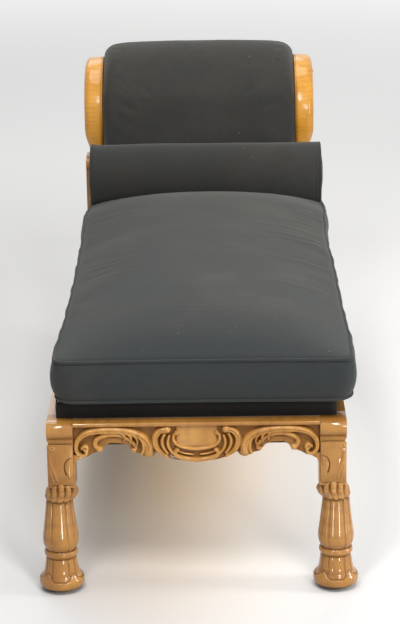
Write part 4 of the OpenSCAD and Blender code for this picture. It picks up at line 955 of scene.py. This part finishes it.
# Bolster: a roll about X with a slack belly and gathered ends
def bolsterMesh(s=bolsterShape):
    a = turns(s["around"])
    side = np.concatenate([np.linspace(0, 0.9, 40), np.linspace(0.92, 1, 12)])
    half = s["half"] - s["welt"]
    rows = [(half * u, (s["r"] - 0.4) * (1 - 0.010 * u ** 2), 0.0) for u in side]
    rows += [(half + 1.2, s["r"] - 2.2, 0.0), (half + 2.2, s["r"] - 5.0, 0.0)]
    rows += [(half + s["lip"], s["r"] - s["tuck"], 0.1)]
    for v in np.linspace(0, 1, 30)[1:]:
        r = (s["r"] - s["tuck"]) * (1 - v)
        bulge = s["bulge"] * math.sin(min(1, v * 1.15) * math.pi / 2)
        bulge *= 1 - 0.42 * smoothStep((v - 0.8) / 0.2)
        fold = math.sin(math.pi * min(1, v * 1.1)) ** 0.5 if v < 0.9 else 0.6
        rows.append((half + s["lip"] + bulge, max(r, 0.0), fold))
    layers = []
    for x, r, fold in rows:
        ripple = s["ripple"] * fold * (np.abs(np.sin(a * s["pleats"] / 2 + 0.6 * np.sin(a * 3))) - 0.6)
        across = np.full_like(a, x) + ripple * (1 if r > 4 else 0.3)
        layers.append(np.stack([across, r * np.cos(a), r * np.sin(a)], -1))
    right = np.array(layers)
    left = right[::-1].copy()
    left[..., 0] *= -1
    pts = np.concatenate([left[:-1], right])
    x = pts[..., 0]
    first, second = s["slackLong"]
    angle = np.arctan2(pts[..., 2], pts[..., 1])
    slack = s["slack"] * np.sin(x / first + 1.1) * np.sin(angle * 2 + x / second)
    scale = 1 - np.clip(slack + s["slack"], 0, None) / s["r"] * (np.abs(x) < half - 6)
    pts[..., 1] = pts[..., 1] * scale + s["y"]
    pts[..., 2] = pts[..., 2] * scale + s["z"]
    pts[..., 0] += s["right"]
    return gridMesh("bolster", pts * mm, wrapV=True)


bolster = addCloth("bolsterRoll", bolsterMesh(), ("bolster",), "bolster")
for sideName, side in bothSides:
    s = bolsterShape
    a, b = turns(s["weltAround"]), turns(12)
    r = s["r"] - s["weltIn"]
    x = np.full_like(a, s["right"] + side * s["half"])
    ring = np.stack([x, s["y"] + r * np.cos(a), s["z"] + r * np.sin(a)], -1)
    outward = np.stack([np.zeros_like(a), np.cos(a), np.sin(a)], -1)
    pts = ring[:, None, :] + s["weltR"] * (np.cos(b)[None, :, None] * outward[:, None, :]
                                           + np.sin(b)[None, :, None] * np.array([1.0, 0, 0]))
    welt = gridMesh(f"bolsterWelt.{sideName}", pts * mm, wrapU=True, wrapV=True)
    addCloth(f"bolsterWelt.{sideName}", welt, (f"bolster_welt_{sideName}",), "bolster")
print("bolster made")

# Headrest pad: an outer line over an inner line, swept across, fuller in the middle
padShape = {"half": 264.2, "eyeY": 872.5, "eyeZ": 783, "crest": 98, "arcR": 148, "voluteR": 50,
            "ahead": 19, "front": 609.3, "foot": 392, "across": 90, "along": 150, "domeR": 183,
            "wrapOut": 49.5, "wrapIn": 39.5, "wrapHigh": (60, 101), "domeFoot": 440, "lowY": 735.5,
            "lowTop": 448, "midY": 718.0, "midZ": (655, 708), "wrapFrom": 0.79, "wrapBlend": 0.09,
            "wrapFill": 0.94, "edge": 6, "slump": 0.13, "endFall": 0.42, "endPower": 18,
            "freeOver": (40, 60)}


def padLines(s=padShape):
    cy, cz = s["eyeY"] - s["ahead"], s["eyeZ"] - (s["arcR"] - s["voluteR"])
    rest = s["crest"] + s["arcR"] - s["voluteR"]
    a = np.radians(np.linspace(170, 93, 30))
    dome = np.stack([cy + s["domeR"] * np.cos(a), cz + rest * np.sin(a)], -1)
    e = np.radians(np.linspace(70, -88, 24))
    high = np.interp(np.degrees(e), [-88, 0, 70], [s["wrapOut"], *s["wrapHigh"]])
    fall = np.stack([s["eyeY"] + s["wrapOut"] * np.cos(e), s["eyeZ"] + high * np.sin(e)], -1)
    outer = np.vstack([[s["front"], s["foot"]], [s["front"], s["domeFoot"]], dome, fall])
    outer = smoothPath(outer, s["along"], 2)
    w = np.radians(np.linspace(135, -90, 20))
    roll = np.stack([s["eyeY"] + s["wrapIn"] * np.cos(w), s["eyeZ"] + s["wrapIn"] * np.sin(w)], -1)
    inner = np.vstack([[s["lowY"], s["foot"]], [s["lowY"], s["lowTop"]],
                       *[[s["midY"], z] for z in s["midZ"]], roll])
    return outer, resample(inner, s["along"])


def padMesh(s=padShape):
    outer, inner = padLines(s)
    u = np.sin(np.linspace(-quarter, quarter, s["across"])) * 0.6 + np.linspace(-1, 1, s["across"]) * 0.4
    fill = 1 - s["slump"] * u ** 2 - s["endFall"] * np.abs(u) ** s["endPower"]
    layers = []
    along = np.linspace(0, 1, len(outer))
    wrapPart = smoothStep((along - s["wrapFrom"]) / s["wrapBlend"])[:, None]  # the wrap stays thin
    for share, f in zip(u, fill):
        line = inner + (outer - inner) * (f + (max(f, s["wrapFill"]) - f) * wrapPart)
        ring = np.vstack([line, inner[::-1]])
        layers.append(np.column_stack([np.full(len(ring), share * s["half"]), ring]))
    return closeEnds(gridMesh("headrestPad", np.array(layers) * mm, wrapV=True))


def padFree(p, s=padShape):
    inwards = s["half"] - s["edge"] - np.abs(p[:, 0]) / mm
    above = p[:, 2] / mm - s["foot"] - s["edge"]
    return smoothStep(inwards / s["freeOver"][0]) * smoothStep(above / s["freeOver"][1])


pad = addCloth("headrestPad", padMesh(), ("head_pad",))
puff(pad, 0.006, 0.003, padFree)
subdivide(pad)
print("headrest made")


# Deck: a firm block with eased edges and sewn corners
deckShape = {"corner": 3.5, "edge": 4, "belly": 1.2, "back": 608.0, "around": 360, "seamIn": 2.6,
             "seamR": 1.5}


def roundedBlock(name, lo, hi, s=deckShape):
    cx, cy = (lo[0] + hi[0]) / 2, (lo[1] + hi[1]) / 2
    a, b = (hi[0] - lo[0]) / 2, (hi[1] - lo[1]) / 2

    def ring(inset, z):
        p = roundedOutline(a - inset, b - inset, max(s["corner"] - inset, 1.0), 8, s["around"])
        return np.column_stack([p[:, 0] + cx, p[:, 1] + cy, np.full(len(p), z)])

    def shrink(p, inset):  # scaled about the middle, so that no face folds over
        return p * [(a - inset) / a, (b - inset) / b, 1] + [cx * inset / a, cy * inset / b, 0]
    base = ring(2, lo[2])
    rows = [shrink(base, a * 0.6), base]
    edge = s["edge"]
    for u in np.linspace(0, 1, 9):
        rows.append(ring(1.0 - s["belly"] * math.sin(math.pi * u), lo[2] + (hi[2] - lo[2] - edge) * u))
    for t in np.radians(np.linspace(15, 90, 6)):
        rows.append(ring(1.0 + edge * (1 - math.cos(t)), hi[2] - edge + edge * math.sin(t)))
    rows += [shrink(rows[-1], a * 0.3), shrink(rows[-1], a * 0.6)]
    return closeEnds(gridMesh(name, np.array(rows) * mm, wrapV=True))


lo, hi = [np.array(v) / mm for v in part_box("deck_cover")]
hi[1] = max(hi[1], deckShape["back"])  # the cover runs back to the headrest
deck = addCloth("deckCover", roundedBlock("deckCover", lo, hi), ("deck_cover",), mat=deckCloth)
z = np.linspace(lo[2] + 1, hi[2] - 3, 40)
a = turns(10)
fromEnd = np.minimum(z - z[0], z[-1] - z)
r = deckShape["seamR"] * np.sin(np.clip(fromEnd / 3, 0, 1) * quarter)
for sideName, side in bothSides:  # sewn corner seams at the front
    x, y = side * (hi[0] - deckShape["seamIn"]), lo[1] + deckShape["seamIn"]
    pts = np.stack([x + r[:, None] * np.cos(a), y + r[:, None] * np.sin(a), z[:, None] + 0 * a], -1)
    seam = gridMesh(f"deckSeam.{sideName}", pts * mm, wrapV=True)
    addCloth(f"deckSeam.{sideName}", seam, mat=deckCloth)

# Cloth, pads and webbing that keep the frame's shapes
keptCloth = (("outside_back", charcoal, 0.0015, "black_cloth"),
             ("dust_cover", deckCloth, 0.0, "black_cloth"),
             ("deck_hessian", jute, 0.0, "jute"), ("deck_pad", padding, 0.004, "padding"),
             ("webbing_long", jute, 0.0, "jute"), ("webbing_cross", jute, 0.0, "jute"),
             ("head_webbing", jute, 0.0, "jute"))
for node, mat, bevel, slotName in keptCloth:
    piece = cleanPiece(node, mat, bevel)
    if node in ("outside_back", "dust_cover", "deck_hessian"):  # thin cloth; its box is read and not used
        lo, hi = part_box(node)

# Remaining frame pieces keep their shapes
for name, o in nodes.items():
    if o.hide_render:
        continue
    if name.startswith("caster_axle") or name in ("corner_block_screws", "webbing_tacks"):
        mat = steel
    elif name.startswith("caster"):
        mat = brass
    else:
        mat = mapleHead if name.startswith("scroll_boss") else plainUp
    o.data.materials.clear()
    o.data.materials.append(mat)
print("frame pieces dressed")


# Floor, with painted light and shadow about the couch, and a pale world that only the camera and
# reflections see
def seenRays(tree):
    rays = addNode(tree, "LightPath").outputs
    seen = mathNode(tree, "MAXIMUM", rays["Is Camera Ray"], rays["Is Glossy Ray"])
    return mathNode(tree, "MAXIMUM", seen, rays["Is Transmission Ray"])


def floorMaterial(s=floorLook):
    mat, t, bsdf, coord = nodeTree("studioPaper", Roughness=0.95, Specular_IOR_Level=0.1)
    x = addNode(t, "SeparateXYZ", {0: coord}).outputs[0]
    radius = addNode(t, "VectorMath", {0: coord}, operation="LENGTH").outputs["Value"]
    # painted light brighter to the right and shade to the left, strongest near the couch
    across = rampValue(t, x, -s["side"], s["side"], -s["sideReach"], s["sideReach"])
    side = times(t, across, rampValue(t, radius, *s["sideFade"], *s["sideRadius"]))
    # under the couch: a painted pool of light to the right, painted shadow to the left, and a painted
    # warm tint
    oval = addNode(t, "Mapping", {"Vector": coord}, Scale=(*[1 / v for v in s["oval"]], 1)).outputs[0]
    away = addNode(t, "VectorMath", {0: oval}, operation="LENGTH").outputs["Value"]
    warm = rampValue(t, away, 1, 0, *s["ovalFade"])
    glow = mathNode(t, "ADD", rampValue(t, radius, *s["glow"], *s["glowRadius"]), side)
    lit = times(t, warm, rampValue(t, x, *s["under"], *s["underX"]))
    glow = mathNode(t, "ADD", glow, lit)
    # painted contact shadow at the feet
    near = addNode(t, "AmbientOcclusion", Distance=s["contactReach"], samples=8).outputs["AO"]
    glow = times(t, glow, rampValue(t, near, 0, 1, *s["contact"]))
    tint = times(t, warm, rampValue(t, x, *s["tint"], *s["tintX"]))
    brown = tuple(a * b for a, b in zip(s["base"], s["warmColour"]))
    wire(t, bsdf, {"Base Color": mixColour(t, tint, s["base"], brown),
                   "Emission Color": mixColour(t, tint, s["glowColour"], s["warmColour"]),
                   "Emission Strength": times(t, seenRays(t), glow)})
    return mat


w = floorLook["halfSize"]
corners = np.array([[[-w, -w, 0], [-w, w, 0]], [[w, -w, 0], [w, w, 0]]])
paper = bpy.data.objects.new("studioFloor", gridMesh("studioFloor", corners, merge=0))
paper.data.materials.append(floorMaterial())
bpy.context.scene.collection.objects.link(paper)
world = bpy.data.worlds.new("studio")
bpy.context.scene.world = world
world.use_nodes = True
wt = world.node_tree
wt.nodes.clear()
fill = addNode(wt, "Background", Color=(*lightSetup["fill"], 1), Strength=lightSetup["world"])
paleWall = addNode(wt, "Background", Color=(*lightSetup["backdrop"], 1), Strength=1.0)
pick = addNode(wt, "MixShader", {0: seenRays(wt), 1: fill.outputs[0], 2: paleWall.outputs[0]})
addNode(wt, "OutputWorld", {0: pick.outputs[0]})
print("studio made")
